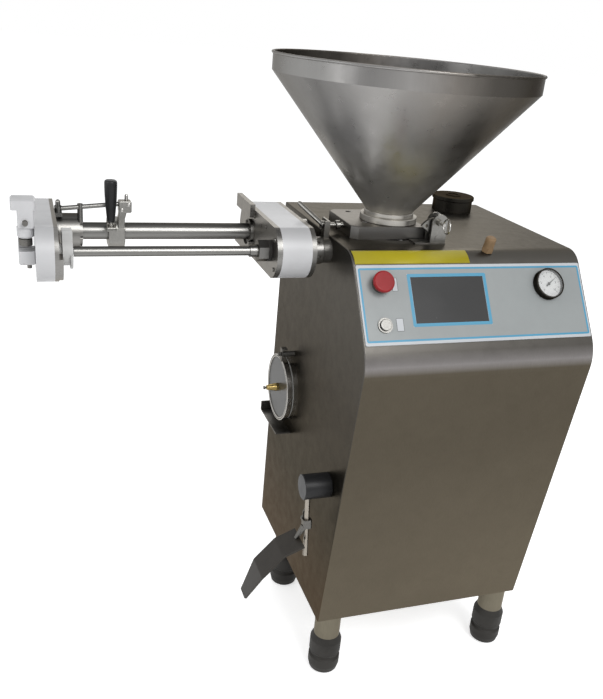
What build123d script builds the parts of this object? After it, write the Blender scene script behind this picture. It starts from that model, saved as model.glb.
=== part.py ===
from build123d import *
from math import asin, cos, radians, sin
import os

os.makedirs("parts", exist_ok=True)

# Vacuum filler with a linker arm. Millimetres, +Z up, the control panel faces -Y and the arm
# reaches to -X. The origin is on the floor, in the middle of the whole machine's box.

# Cabinet
cabinet_width = 480.0
rear_reach = 410.0
top_height = 945.0
bottom_height = 150.0
sheet = 3.0
panel_lean = 35.3
panel_length = 151.0
shoulder_radius = 45.0
belly_radius = 85.0
face_slope = 7.1
seam_radius = 2.5
cover_sheet = 2.0
louvre_count = 7
louvre_length = 130.0
louvre_pitch = 22.0

# Feet
foot_inset = 36.0
foot_back = 0.0
foot_spacing = 300.0
sleeve_radius = 28.0
rubber_radius = 34.0
rubber_height = 95.0

# Hopper and the pump lid that carries it
hopper_from_side = 130.0
hopper_from_edge = 155.0
hopper_rise = 320.0
rim_radius = 248.0
rim_band = 33.0
hopper_sheet = 2.5
throat_radius = 43.5
collar_radius = 48.5
flange_radius = 56.0
flange_height = 12.0
collar_height = 8.0
rim_chamfer = 1.0
lid_gap = 0.3
lid_thickness = 24.7
lid_left = 34.0
lid_right = 186.0
lid_front = 97.0
lid_rear = 240.0
corner_cut = 12.0
lid_screw_radius = 3.0

# Hinge, tilt lock and clamp of the pump lid
hinge_from_side = 195.0
hinge_pin_radius = 4.0
hinge_eye_radius = 8.5
running_gap = 0.05
eye_width = 11.0
ear_thickness = 4.0
ear_width = 32.0
ear_front = 66.0
ear_spacing = 20.0
ear_rise = 57.0
plunger_radius = 3.0
plunger_rise = 42.0
tilt_range = 45.0
pull_ring_radius = 13.0
pull_ring_wire = 1.3
clamp_from_edge = 147.0
clamp_rise = 16.0
clamp_screw_radius = 5.0
clamp_lever_radius = 4.5
clamp_drop = 30.0
clamp_bracket_width = 36.0
clamp_bracket_lip = 11.0

# Vane pump and its drive
pump_radius = 86.0
chamber_radius = 64.0
pump_depth = 73.0
pump_base = 12.0
rotor_radius = 50.0
rotor_offset = 8.0
vane_count = 8
vane_thickness = 5.0
vane_depth = 22.0
drive_radius = 15.0
gearbox_width = 150.0
gearbox_depth = 120.0
gearbox_height = 112.0
gearbox_flange = 12.0
motor_radius = 60.0
motor_length = 240.0
beam_size = 30.0

# Vacuum pot, its lid, latch and ledge
pot_from_edge = 290.0
pot_height = 551.0
pot_radius = 70.0
pot_length = 160.0
pot_wall = 4.0
pot_flange_radius = 73.0
pot_flange = 10.0
gasket_thickness = 3.0
pot_lid_radius = 75.0
pot_lid_thickness = 12.0
pot_lid_rim = 4.0
valve_radius = 9.0
valve_length = 25.0
ledge_front = 245.0
ledge_rear = 368.0
ledge_gap = 19.0
ledge_reach = 35.0
ledge_sheet = 3.0
ledge_lip = 20.0
latch_from_edge = 268.0
latch_gap = 15.0
latch_width = 14.0
latch_drop = 16.0
latch_rise = 14.0

# Knee switch
hub_from_edge = -1.3
hub_height = 472.0
hub_radius = 25.2
hub_length = 55.0
knee_rod_radius = 5.0
knee_rod_out = 42.0
knee_rod_length = 150.0
knee_rod_lean = 7.9
clamp_down = 79.0
paddle_width = 62.0
paddle_tip_width = 28.0
paddle_sheet = 5.0

# Control panel
overlay_margin = 4.0
overlay_sheet = 1.5
overlay_height = 148.0
screen_left = 107.5
screen_down = 24.5
screen_width = 149.5
screen_height = 87.5
screen_depth = 30.0
estop_from_side = 46.3
estop_down = 37.8
estop_radius = 20.0
button_from_side = 45.3
button_down = 113.4
button_radius = 14.0
gauge_from_side = 395.0
gauge_down = 45.0
gauge_radius = 30.0

# Vent cap and exhaust silencer on the top
vent_from_side = 385.0
vent_from_edge = 360.0
vent_radius = 44.5
vent_cap_radius = 47.5
vent_height = 24.0
vent_cap_height = 9.0
silencer_from_side = 283.0
silencer_from_edge = 24.0
silencer_radius = 10.0
silencer_height = 30.0

# Linker arm: the product tube and the drive tube beside it, both along X
arm_drop = 28.5
product_from_edge = 126.0
axis_spacing = 140.0
case_tail = 36.0
case_end_radius = 51.5
case_half_height = 48.5
case_wall = 6.0
near_plate_start = 41.0
near_plate = 9.0
near_case = 57.0
near_cover = 10.0
far_case_left = 534.0
far_case = 30.0
far_plate = 7.0
pulley_radius = 37.0
belt_thickness = 4.0
belt_width = 20.0
outlet_radius = 22.0
outlet_bore = 17.0
ring_nut_radius = 26.0
ring_nut_start = 17.0
ring_nut_width = 21.0
nozzle_radius = 9.0
nozzle_bore = 7.0
nozzle_end = 471.0
nozzle_collar = 11.5
nozzle_nut_width = 36.0
nozzle_nut_length = 18.0
seal_radius = 20.0
main_tube_radius = 16.0
main_tube_wall = 2.5
main_tube_end = 470.0
main_shaft_radius = 9.0
drum_radius = 33.0
drum_right = 452.0
collar_from_side = 384.5
collar_width = 31.0
lever_collar_radius = 27.5
grip_length = 80.0
grip_top_radius = 12.0
grip_low_radius = 9.5
rod_radius = 4.2
brake_out = 548.5
arm_reach = 571.0

# Worked out from the sizes above
lean = radians(panel_lean)
slope = radians(face_slope)
belly_reach = panel_length * sin(lean) + belly_radius * (1 - cos(lean))
machine_depth = belly_reach + rear_reach
side_x = (arm_reach - cabinet_width) / 2
hopper_top = top_height + hopper_rise
ear_top = top_height + ear_rise
plunger_height = top_height + plunger_rise
clamp_height = top_height + clamp_rise
pump_floor = top_height - pump_depth
arm_height = top_height - arm_drop
latch_height = pot_height + pot_lid_radius + latch_gap
ledge_height = pot_height - pot_lid_radius - ledge_gap
rear_y = machine_depth / 2
edge_y = rear_y - rear_reach
edge_z = top_height - shoulder_radius * (1 - sin(lean))
shell_rear_y = rear_y - cover_sheet
inner_width = cabinet_width - 2 * sheet
hopper_x = side_x + hopper_from_side
hopper_y = edge_y + hopper_from_edge
lid_bottom = top_height + lid_gap
lid_top = lid_bottom + lid_thickness


def at(x, y, z):
    """Point x from the cabinet's left side, y behind the panel's top edge and z above the floor."""
    return (side_x + x, edge_y + y, z)


def across(x):
    """Plane at x from the cabinet's left side: its sketch x is the machine's Y, its sketch y is Z."""
    return Plane.YZ.offset(side_x + x)


def looking_left(x, y, z):
    """Plane facing -X at a point of the machine."""
    return Plane(origin=at(x, y, z), x_dir=(0, 0, 1), z_dir=(-1, 0, 0))


def on_top(x, y, z):
    """Plane facing up at a point of the machine."""
    return Plane(origin=at(x, y, z))


def facing_front(x, y, z):
    """Plane facing the front at a point of the machine."""
    return Plane(origin=at(x, y, z), x_dir=(1, 0, 0), z_dir=(0, -1, 0))


panel = Plane(origin=at(0, 0, edge_z), x_dir=(1, 0, 0), z_dir=(0, -cos(lean), sin(lean)))


def on_panel(x, down, out=0.0):
    """Plane on the panel's face at x from its left edge and down from its top edge."""
    return Plane(origin=panel.from_local_coords((x, -down, out)), x_dir=panel.x_dir, z_dir=panel.z_dir)


# The silencer stands square on the rounded shoulder
shoulder_y = shoulder_radius * cos(lean)
silencer_tilt = asin((shoulder_y - silencer_from_edge) / shoulder_radius)
silencer_plane = Plane(
    origin=at(
        silencer_from_side,
        silencer_from_edge,
        top_height - shoulder_radius * (1 - cos(silencer_tilt)),
    ),
    x_dir=(1, 0, 0),
    z_dir=(0, -sin(silencer_tilt), cos(silencer_tilt)),
)


def side_outline(inset, rear, base):
    """Face of the cabinet's side view, drawn inset from the outer sheet and closed at rear and base."""
    with BuildSketch(Plane.XY) as outline:
        with BuildLine():
            top = Line(
                (rear, top_height - inset),
                (edge_y + shoulder_radius * cos(lean), top_height - inset),
            )
            shoulder = JernArc(top @ 1, (-1, 0), shoulder_radius - inset, 90 - panel_lean)
            face = Line(
                shoulder @ 1,
                shoulder @ 1 - Vector(sin(lean), cos(lean)) * panel_length,
            )
            belly = JernArc(
                face @ 1, (-sin(lean), -cos(lean)), belly_radius - inset, panel_lean + face_slope
            )
            drop = (belly @ 1).Y - base
            low = Line(belly @ 1, belly @ 1 + Vector(drop * sin(slope) / cos(slope), -drop))
            Polyline(low @ 1, (rear, base), (rear, top_height - inset))
        make_face()
    return outline.sketch


# Cabinet: one folded and welded sheet casing, open at the rear and below
with BuildPart() as cabinet_shell:
    with BuildSketch(across(0)):
        add(side_outline(0, shell_rear_y, bottom_height))
    extrude(amount=cabinet_width)
    ends = cabinet_shell.faces().sort_by(Axis.X)
    seams = (ends[0].edges() + ends[-1].edges()).filter_by(
        lambda edge: edge.center().Y < shell_rear_y - sheet and edge.center().Z > bottom_height + sheet
    )
    fillet(seams, seam_radius)
    with BuildSketch(across(sheet)):
        add(side_outline(sheet, shell_rear_y + sheet, bottom_height - sheet))
    extrude(amount=inner_width, mode=Mode.SUBTRACT)
    with BuildSketch(on_top(hopper_from_side, hopper_from_edge, top_height)):
        Circle(pump_radius + lid_gap)
    extrude(amount=-sheet * 2, mode=Mode.SUBTRACT)
    with BuildSketch(on_top(vent_from_side, vent_from_edge, top_height)):
        Circle(vent_radius / 2)
    extrude(amount=-sheet * 2, mode=Mode.SUBTRACT)
    for from_edge, height, radius in (
        (product_from_edge, arm_height, outlet_radius),
        (product_from_edge + axis_spacing, arm_height, main_shaft_radius + 2),
        (pot_from_edge, pot_height, pot_radius),
        (hub_from_edge, hub_height, hub_radius / 3),
    ):
        with BuildSketch(looking_left(0, from_edge, height)):
            Circle(radius)
        extrude(amount=-sheet * 2, mode=Mode.SUBTRACT)
    with BuildSketch(silencer_plane):
        Circle(silencer_radius / 2)
    extrude(amount=-sheet * 2, mode=Mode.SUBTRACT)
    with BuildSketch(on_panel(screen_left + screen_width / 2, screen_down + screen_height / 2)):
        Rectangle(screen_width, screen_height)
    extrude(amount=-sheet * 2, mode=Mode.SUBTRACT)
    for from_side, down, radius in (
        (estop_from_side, estop_down, estop_radius * 0.55),
        (button_from_side, button_down, button_radius * 0.75),
        (gauge_from_side, gauge_down, gauge_radius * 0.85),
    ):
        with BuildSketch(on_panel(from_side, down)):
            Circle(radius)
        extrude(amount=-sheet * 2, mode=Mode.SUBTRACT)
cabinet_shell.part.label = "cabinet_shell"
export_step(cabinet_shell.part, "parts/cabinet_shell.step")

with BuildPart() as rear_cover:
    cover_mid = (top_height + bottom_height) / 2
    with BuildSketch(Plane.XZ.offset(-shell_rear_y)):
        with Locations((side_x + cabinet_width / 2, cover_mid)):
            RectangleRounded(cabinet_width, top_height - bottom_height, seam_radius)
    extrude(amount=-cover_sheet)
    with BuildSketch(Plane.XZ.offset(-shell_rear_y)):
        with Locations((side_x + cabinet_width / 2, bottom_height + cabinet_width / 2)):
            with GridLocations(louvre_length * 1.25, louvre_pitch, 2, louvre_count):
                SlotOverall(louvre_length, louvre_pitch / 3)
    extrude(amount=-cover_sheet, mode=Mode.SUBTRACT)
rear_cover.part.label = "rear_cover"
export_step(rear_cover.part, "parts/rear_cover.step")

# Four feet: a steel sleeve under the cabinet and a waisted rubber foot in it
foot_places = [
    at(x, y, 0)
    for x in (foot_inset, cabinet_width - foot_inset)
    for y in (foot_back, foot_back + foot_spacing)
]

with BuildPart() as foot_sleeves:
    with Locations(*foot_places):
        with Locations((0, 0, rubber_height)):
            Cylinder(
                sleeve_radius,
                bottom_height - rubber_height,
                align=(Align.CENTER, Align.CENTER, Align.MIN),
            )
foot_sleeves.part.label = "foot_sleeves"
export_step(foot_sleeves.part, "parts/foot_sleeves.step")

with BuildPart() as rubber_foot:
    with BuildSketch(Plane.XZ):
        with BuildLine():
            Polyline(
                (0, 0),
                (rubber_radius - 10, 0),
                (rubber_radius - 3, 6),
                (rubber_radius, 18),
                (rubber_radius, rubber_height * 0.38),
                (rubber_radius - 4, rubber_height * 0.42),
                (rubber_radius - 4, rubber_height * 0.48),
                (rubber_radius, rubber_height * 0.54),
                (rubber_radius, rubber_height * 0.85),
                (sleeve_radius, rubber_height),
                (0, rubber_height),
                (0, 0),
            )
        make_face()
    revolve(axis=Axis.Z)

with BuildPart() as rubber_feet:
    with Locations(*foot_places):
        add(rubber_foot.part)
rubber_feet.part.label = "rubber_feet"
export_step(rubber_feet.part, "parts/rubber_feet.step")

# Hopper: rim band, cone and throat of one sheet, with a rolled edge
cone_bottom = lid_top + flange_height + collar_height
rim_low = hopper_top - rim_band
throat_outer = throat_radius + hopper_sheet

with BuildPart() as hopper:
    with BuildSketch(Plane(origin=(hopper_x, hopper_y, 0), x_dir=(1, 0, 0), z_dir=(0, -1, 0))):
        with BuildLine():
            Polyline(
                (throat_radius, lid_top),
                (throat_outer, lid_top),
                (throat_outer, cone_bottom),
                (rim_radius, rim_low),
                (rim_radius, hopper_top - hopper_sheet),
                (rim_radius - hopper_sheet, hopper_top - hopper_sheet),
                (rim_radius - hopper_sheet, rim_low + hopper_sheet / 2),
                (throat_radius, cone_bottom + hopper_sheet / 2),
                (throat_radius, lid_top),
            )
        make_face()
        with Locations((rim_radius, hopper_top - hopper_sheet)):
            Circle(hopper_sheet)
        with BuildLine():
            Polyline(
                (throat_outer, lid_top),
                (flange_radius - rim_chamfer, lid_top),
                (flange_radius, lid_top + rim_chamfer),
                (flange_radius, lid_top + flange_height - rim_chamfer),
                (flange_radius - rim_chamfer, lid_top + flange_height),
                (collar_radius, lid_top + flange_height),
                (collar_radius, cone_bottom - rim_chamfer),
                (collar_radius - rim_chamfer, cone_bottom),
                (throat_outer, cone_bottom),
                (throat_outer, lid_top),
            )
        make_face()
    revolve(axis=Axis((hopper_x, hopper_y, 0), (0, 0, 1)))
hopper.part.label = "hopper"
export_step(hopper.part, "parts/hopper.step")

# Pump lid: the thick plate under the hopper, with its hinge eyes
hinge_z = lid_bottom + lid_thickness / 2
eye_reach = hinge_from_side - lid_right
eye_starts = (lid_front, lid_rear - eye_width)
lid_screws = (
    (hopper_from_side - flange_radius - 3, hopper_from_edge - 20),
    (hopper_from_side - flange_radius - 3, hopper_from_edge + 65),
)

with BuildPart() as pump_lid:
    with BuildSketch(Plane.XY.offset(lid_bottom)):
        with Locations(at((lid_left + lid_right) / 2, (lid_front + lid_rear) / 2, 0)[:2]):
            Rectangle(lid_right - lid_left, lid_rear - lid_front)
        chamfer(vertices().group_by(Axis.X)[0], corner_cut)
    extrude(amount=lid_thickness)
    top_edges = pump_lid.faces().sort_by(Axis.Z)[-1].edges()
    chamfer(top_edges, 1.0)
    with BuildSketch(on_top(hopper_from_side, hopper_from_edge, lid_bottom)):
        Circle(throat_radius)
    extrude(amount=lid_thickness, mode=Mode.SUBTRACT)
    for start in eye_starts:
        with BuildSketch(facing_front(hinge_from_side, start, hinge_z)):
            Circle(hinge_eye_radius)
            with Locations((-eye_reach / 2 - 1, 0)):
                Rectangle(eye_reach + 2, hinge_eye_radius * 2)
        extrude(amount=-eye_width)
        with BuildSketch(facing_front(hinge_from_side, start, hinge_z)):
            Circle(hinge_pin_radius)
        extrude(amount=-eye_width, mode=Mode.SUBTRACT)
    for x, y in lid_screws:
        with Locations(Plane(origin=at(x, y, lid_top))):
            CounterSinkHole(lid_screw_radius, lid_screw_radius * 2, depth=lid_thickness * 0.7)
pump_lid.part.label = "pump_lid"
export_step(pump_lid.part, "parts/pump_lid.step")

# Hinge of the pump lid: brackets on the cabinet, the pin and the tilt lock
foot_sheet = 3.0
ear_mid = hinge_from_side + 3.0
pin_length = lid_rear - ear_front + 2.0
rear_ear_start = lid_rear - 2 * eye_width - 3.0
lock_start = ear_front + ear_spacing / 2 - 1.0
lock_thickness = 6.0
lock_radius = plunger_height - hinge_z
lock_angle = 90.0 + tilt_range
bush_length = 10.0
bush_radius = 6.0

with BuildPart() as lid_brackets:
    with BuildSketch(on_top(ear_mid + ear_width / 2, ear_front + ear_spacing / 2 + 2, top_height)):
        Rectangle(ear_width * 2, ear_spacing + ear_thickness * 2, align=(Align.MAX, Align.CENTER))
    extrude(amount=foot_sheet)
    for start in (ear_front, ear_front + ear_spacing):
        with BuildSketch(facing_front(ear_mid, start, top_height)):
            Rectangle(ear_width, ear_top - top_height - ear_width / 2, align=(Align.CENTER, Align.MIN))
            with Locations((0, ear_top - top_height - ear_width / 2)):
                Circle(ear_width / 2)
        extrude(amount=-ear_thickness)
    with BuildSketch(facing_front(hinge_from_side, ear_front - bush_length, plunger_height)):
        Circle(bush_radius)
    extrude(amount=-bush_length)
    with BuildSketch(facing_front(hinge_from_side, ear_front - bush_length, plunger_height)):
        Circle(plunger_radius + running_gap)
    extrude(amount=-bush_length - ear_thickness, mode=Mode.SUBTRACT)
    with BuildSketch(facing_front(hinge_from_side, rear_ear_start, top_height)):
        Rectangle(hinge_eye_radius * 2, hinge_z - top_height, align=(Align.CENTER, Align.MIN))
        with Locations((0, hinge_z - top_height)):
            Circle(hinge_eye_radius)
    extrude(amount=-eye_width)
    with BuildSketch(facing_front(hinge_from_side, ear_front, hinge_z)):
        Circle(hinge_pin_radius + running_gap)
    extrude(amount=-pin_length, mode=Mode.SUBTRACT)
    with BuildSketch(on_top(0, clamp_from_edge, clamp_height - clamp_drop)):
        with Locations((-ear_thickness / 2, 0)):
            Rectangle(ear_thickness, clamp_bracket_width)
        with Locations((0, -clamp_bracket_width / 2)):
            Rectangle(clamp_bracket_lip, ear_thickness, align=(Align.MAX, Align.MIN))
    extrude(amount=clamp_drop + clamp_bracket_lip - running_gap)
    with BuildSketch(looking_left(0, clamp_from_edge, clamp_height)):
        Circle(clamp_screw_radius + running_gap)
    extrude(amount=ear_thickness, mode=Mode.SUBTRACT)
    with BuildSketch(looking_left(0, product_from_edge, arm_height)):
        Circle(outlet_radius + 2)
    extrude(amount=clamp_bracket_lip, mode=Mode.SUBTRACT)
lid_brackets.part.label = "lid_brackets"
export_step(lid_brackets.part, "parts/lid_brackets.step")

with BuildPart() as hinge_pin:
    with BuildSketch(facing_front(hinge_from_side, ear_front - 1, hinge_z)):
        Circle(hinge_pin_radius)
    extrude(amount=-pin_length)
    with BuildSketch(facing_front(hinge_from_side, lock_start, hinge_z)):
        Circle(hinge_eye_radius)
        with BuildLine():
            sweep_arc = CenterArc((0, 0), lock_radius + 7, 78, tilt_range + 24)
            Line(sweep_arc @ 1, (0, 0))
            Line((0, 0), sweep_arc @ 0)
        make_face()
        with PolarLocations(lock_radius, 1, start_angle=lock_angle):
            Circle(plunger_radius + lid_gap, mode=Mode.SUBTRACT)
    extrude(amount=-lock_thickness)
hinge_pin.part.label = "hinge_pin"
export_step(hinge_pin.part, "parts/hinge_pin.step")

# Index plunger that holds the hopper when it is tilted, with its pull ring
plunger_front = ear_front - bush_length - 12.0
plunger_length = lock_start - lid_gap - plunger_front

with BuildPart() as lock_plunger:
    with BuildSketch(facing_front(hinge_from_side, plunger_front, plunger_height)):
        Circle(plunger_radius)
    extrude(amount=-plunger_length)
    with Locations(Plane(origin=at(hinge_from_side, plunger_front + 3.0, plunger_height))):
        Hole(pull_ring_wire + 0.3)
    ring_middle = at(hinge_from_side, plunger_front + 3.0 - pull_ring_radius, plunger_height)
    with Locations(Location(ring_middle, (0, 90, 0))):
        Torus(pull_ring_radius, pull_ring_wire)
lock_plunger.part.label = "lock_plunger"
export_step(lock_plunger.part, "parts/lock_plunger.step")

# Clamp screw at the left of the pump lid, with its lever
screw_head = 9.0
screw_out = ear_thickness + screw_head + lid_gap
lever_start = Vector(at(-screw_out + clamp_lever_radius, clamp_from_edge, clamp_height))
lever_way = Vector(-35, 43, 31)

with BuildPart() as clamp_screw:
    with BuildSketch(looking_left(lid_left - lid_gap, clamp_from_edge, clamp_height)):
        Circle(clamp_screw_radius)
    extrude(amount=lid_left - lid_gap + screw_out)
    with BuildSketch(looking_left(-ear_thickness - lid_gap, clamp_from_edge, clamp_height)):
        Circle(clamp_screw_radius + 3)
    extrude(amount=screw_head)
    with BuildSketch(looking_left(lid_left - 8, clamp_from_edge, clamp_height)):
        Circle(clamp_screw_radius + 4)
    extrude(amount=9)
    outer_edges = clamp_screw.edges().filter_by(GeomType.CIRCLE).filter_by(
        lambda edge: edge.radius > clamp_screw_radius + 1
    )
    chamfer(outer_edges, 0.8)
    with BuildSketch(Plane(origin=lever_start, z_dir=lever_way)):
        Circle(clamp_lever_radius)
    extrude(amount=lever_way.length)
    with Locations(lever_start + lever_way):
        Sphere(clamp_lever_radius)
clamp_screw.part.label = "clamp_screw"
export_step(clamp_screw.part, "parts/clamp_screw.step")

# Vane pump under the lid: housing, rotor with its vanes, shaft
rotor_from_side = hopper_from_side + rotor_offset
rotor_height = top_height - pump_floor - pump_base - 2.0
rotor_floor = pump_floor + pump_base + 1.0
gearbox_top = pump_floor
shaft_foot = gearbox_top - gearbox_height / 2
port_end = hopper_from_side - pump_radius - 6.0

with BuildPart() as pump_housing:
    with BuildSketch(on_top(hopper_from_side, hopper_from_edge, pump_floor)):
        Circle(pump_radius)
    extrude(amount=top_height - pump_floor)
    with BuildSketch(looking_left(hopper_from_side, product_from_edge, arm_height)):
        Circle(outlet_radius + 3)
    extrude(amount=hopper_from_side - port_end)
    with BuildSketch(on_top(hopper_from_side, hopper_from_edge, pump_floor + pump_base)):
        Circle(chamber_radius)
    extrude(amount=top_height - pump_floor, mode=Mode.SUBTRACT)
    with BuildSketch(looking_left(hopper_from_side, product_from_edge, arm_height)):
        Circle(outlet_bore)
    extrude(amount=hopper_from_side - port_end, mode=Mode.SUBTRACT)
    with BuildSketch(on_top(rotor_from_side, hopper_from_edge, pump_floor)):
        Circle(drive_radius + running_gap)
    extrude(amount=pump_base, mode=Mode.SUBTRACT)
pump_housing.part.label = "pump_housing"
export_step(pump_housing.part, "parts/pump_housing.step")

with BuildPart() as pump_rotor:
    with BuildSketch(on_top(rotor_from_side, hopper_from_edge, rotor_floor)):
        Circle(rotor_radius)
        with PolarLocations(rotor_radius - vane_depth / 2, vane_count):
            Rectangle(vane_depth, vane_thickness, mode=Mode.SUBTRACT)
    extrude(amount=rotor_height)
    with BuildSketch(on_top(rotor_from_side, hopper_from_edge, shaft_foot)):
        Circle(drive_radius)
    extrude(amount=rotor_floor - shaft_foot)
pump_rotor.part.label = "pump_rotor"
export_step(pump_rotor.part, "parts/pump_rotor.step")

vane_reach = chamber_radius - rotor_offset - rotor_radius - 0.6

with BuildPart() as pump_vanes:
    with BuildSketch(on_top(rotor_from_side, hopper_from_edge, rotor_floor)):
        with PolarLocations(rotor_radius - vane_depth / 2 + vane_reach, vane_count):
            Rectangle(vane_depth, vane_thickness)
    extrude(amount=rotor_height)
pump_vanes.part.label = "pump_vanes"
export_step(pump_vanes.part, "parts/pump_vanes.step")

# Gear motor under the pump and the beams that carry both
motor_top = gearbox_top - gearbox_height
fin_count = 24
servo_size = 50.0
servo_length = 96.0

with BuildPart() as drive_motors:
    with BuildSketch(on_top(rotor_from_side, hopper_from_edge, gearbox_top)):
        RectangleRounded(gearbox_width, gearbox_depth + 2 * beam_size, 10)
    extrude(amount=-gearbox_flange)
    with BuildSketch(on_top(rotor_from_side, hopper_from_edge, gearbox_top - gearbox_flange)):
        RectangleRounded(gearbox_width, gearbox_depth, 14)
    extrude(amount=gearbox_flange - gearbox_height)
    with BuildSketch(on_top(rotor_from_side, hopper_from_edge, gearbox_top)):
        Circle(drive_radius + running_gap)
    extrude(amount=shaft_foot - gearbox_top, mode=Mode.SUBTRACT)
    with BuildSketch(on_top(rotor_from_side, hopper_from_edge, motor_top)):
        Circle(motor_radius - 8)
    extrude(amount=-motor_length)
    with BuildSketch(on_top(rotor_from_side, hopper_from_edge, motor_top)):
        Circle(motor_radius)
    extrude(amount=-14)
    with BuildSketch(on_top(rotor_from_side, hopper_from_edge, motor_top - motor_length + 50)):
        Circle(motor_radius)
    extrude(amount=-50)
    with BuildSketch(on_top(rotor_from_side, hopper_from_edge, motor_top - motor_length + 50)):
        with PolarLocations(motor_radius - 6, fin_count):
            Rectangle(10, 3)
    extrude(amount=motor_length - 64)
    with BuildSketch(looking_left(sheet + servo_length, product_from_edge + axis_spacing, arm_height)):
        RectangleRounded(servo_size, servo_size, 5)
    extrude(amount=servo_length)
    with BuildSketch(looking_left(sheet + 24, product_from_edge + axis_spacing, arm_height)):
        Circle(main_shaft_radius + running_gap)
    extrude(amount=24, mode=Mode.SUBTRACT)
drive_motors.part.label = "drive_motors"
export_step(drive_motors.part, "parts/drive_motors.step")

with BuildPart() as inner_frame:
    with BuildSketch(across(sheet)):
        add(side_outline(sheet, shell_rear_y, bottom_height))
    extrude(amount=inner_width)
    split(bisect_by=Plane.XY.offset(bottom_height + sheet), keep=Keep.BOTTOM)
    beam_mid = gearbox_depth / 2 + beam_size / 2
    for back in (-beam_mid, beam_mid):
        with BuildSketch(across(sheet)):
            with Locations(
                (edge_y + hopper_from_edge + back, gearbox_top - gearbox_flange - beam_size / 2)
            ):
                Rectangle(beam_size, beam_size)
                Rectangle(beam_size - 2 * sheet, beam_size - 2 * sheet, mode=Mode.SUBTRACT)
        extrude(amount=inner_width)
inner_frame.part.label = "inner_frame"
export_step(inner_frame.part, "parts/inner_frame.step")

# Vacuum pump on the bottom plate
with BuildPart() as vacuum_pump:
    vacuum_base = bottom_height + sheet
    with BuildSketch(on_top(cabinet_width * 0.68, hopper_from_edge + 60, vacuum_base)):
        RectangleRounded(150, 240, 8)
    extrude(amount=14)
    with BuildSketch(on_top(cabinet_width * 0.68, hopper_from_edge + 10, vacuum_base + 14)):
        RectangleRounded(120, 130, 16)
    extrude(amount=130)
    with BuildSketch(facing_front(cabinet_width * 0.68, hopper_from_edge + 75, vacuum_base + 84)):
        Circle(52)
    extrude(amount=-100)
    with BuildSketch(on_top(cabinet_width * 0.68, hopper_from_edge - 20, vacuum_base + 144)):
        Circle(18)
    extrude(amount=40)
vacuum_pump.part.label = "vacuum_pump"
export_step(vacuum_pump.part, "parts/vacuum_pump.step")

# Vacuum pot in the left side, with its gasket and round lid
with BuildPart() as vacuum_pot:
    with BuildSketch(looking_left(pot_length, pot_from_edge, pot_height)):
        Circle(pot_radius)
    extrude(amount=pot_length)
    with BuildSketch(looking_left(0, pot_from_edge, pot_height)):
        Circle(pot_flange_radius)
    extrude(amount=pot_flange)
    with BuildSketch(looking_left(pot_length - pot_wall, pot_from_edge, pot_height)):
        Circle(pot_radius - pot_wall)
    extrude(amount=pot_length + pot_flange, mode=Mode.SUBTRACT)
vacuum_pot.part.label = "vacuum_pot"
export_step(vacuum_pot.part, "parts/vacuum_pot.step")

with BuildPart() as pot_gasket:
    with BuildSketch(looking_left(-pot_flange, pot_from_edge, pot_height)):
        Circle(pot_flange_radius)
        Circle(pot_radius - pot_wall, mode=Mode.SUBTRACT)
    extrude(amount=gasket_thickness)
pot_gasket.part.label = "pot_gasket"
export_step(pot_gasket.part, "parts/pot_gasket.step")

lid_inner = pot_flange + gasket_thickness + lid_gap
lid_face = lid_inner + pot_lid_thickness

with BuildPart() as pot_lid:
    with BuildSketch(looking_left(-lid_inner, pot_from_edge, pot_height)):
        Circle(pot_lid_radius)
    extrude(amount=pot_lid_thickness)
    fillet(pot_lid.edges().group_by(Axis.X)[0], 2.0)
    with BuildSketch(looking_left(-lid_face, pot_from_edge, pot_height)):
        Circle(pot_lid_radius - pot_lid_rim)
    extrude(amount=-2.0, mode=Mode.SUBTRACT)
    with BuildSketch(looking_left(-lid_face + 2.0, pot_from_edge, pot_height)):
        Circle(3.0)
    extrude(amount=2.0 - pot_lid_thickness, mode=Mode.SUBTRACT)
pot_lid.part.label = "pot_lid"
export_step(pot_lid.part, "parts/pot_lid.step")

with BuildPart() as release_valve:
    with BuildSketch(looking_left(-lid_face + 2.0, pot_from_edge, pot_height)):
        RegularPolygon(valve_radius + 1, 6)
    extrude(amount=6)
    with BuildSketch(looking_left(-lid_face - 4.0, pot_from_edge, pot_height)):
        Circle(valve_radius)
    with BuildSketch(looking_left(-lid_face - valve_length, pot_from_edge, pot_height)):
        Circle(valve_radius * 0.6)
    loft()
    with BuildSketch(looking_left(-lid_face - valve_length - 4, pot_from_edge, pot_height)):
        Circle(2.5)
    extrude(amount=-14, mode=Mode.SUBTRACT)
release_valve.part.label = "release_valve"
export_step(release_valve.part, "parts/release_valve.step")

with BuildPart() as valve_button:
    with BuildSketch(looking_left(-lid_face - valve_length + 5.5, pot_from_edge, pot_height)):
        Circle(2.5 - running_gap)
    extrude(amount=9)
    with BuildSketch(looking_left(-lid_face - valve_length - 3.5, pot_from_edge, pot_height)):
        Circle(4)
    extrude(amount=5)
    fillet(valve_button.edges().group_by(Axis.X)[0], 1.2)
valve_button.part.label = "valve_button"
export_step(valve_button.part, "parts/valve_button.step")

# Stud of the latch and the ledge under the pot lid, both on the side wall, and the latch strap
latch_plane_out = lid_face + 1.5
strap_sheet = 3.0

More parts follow.
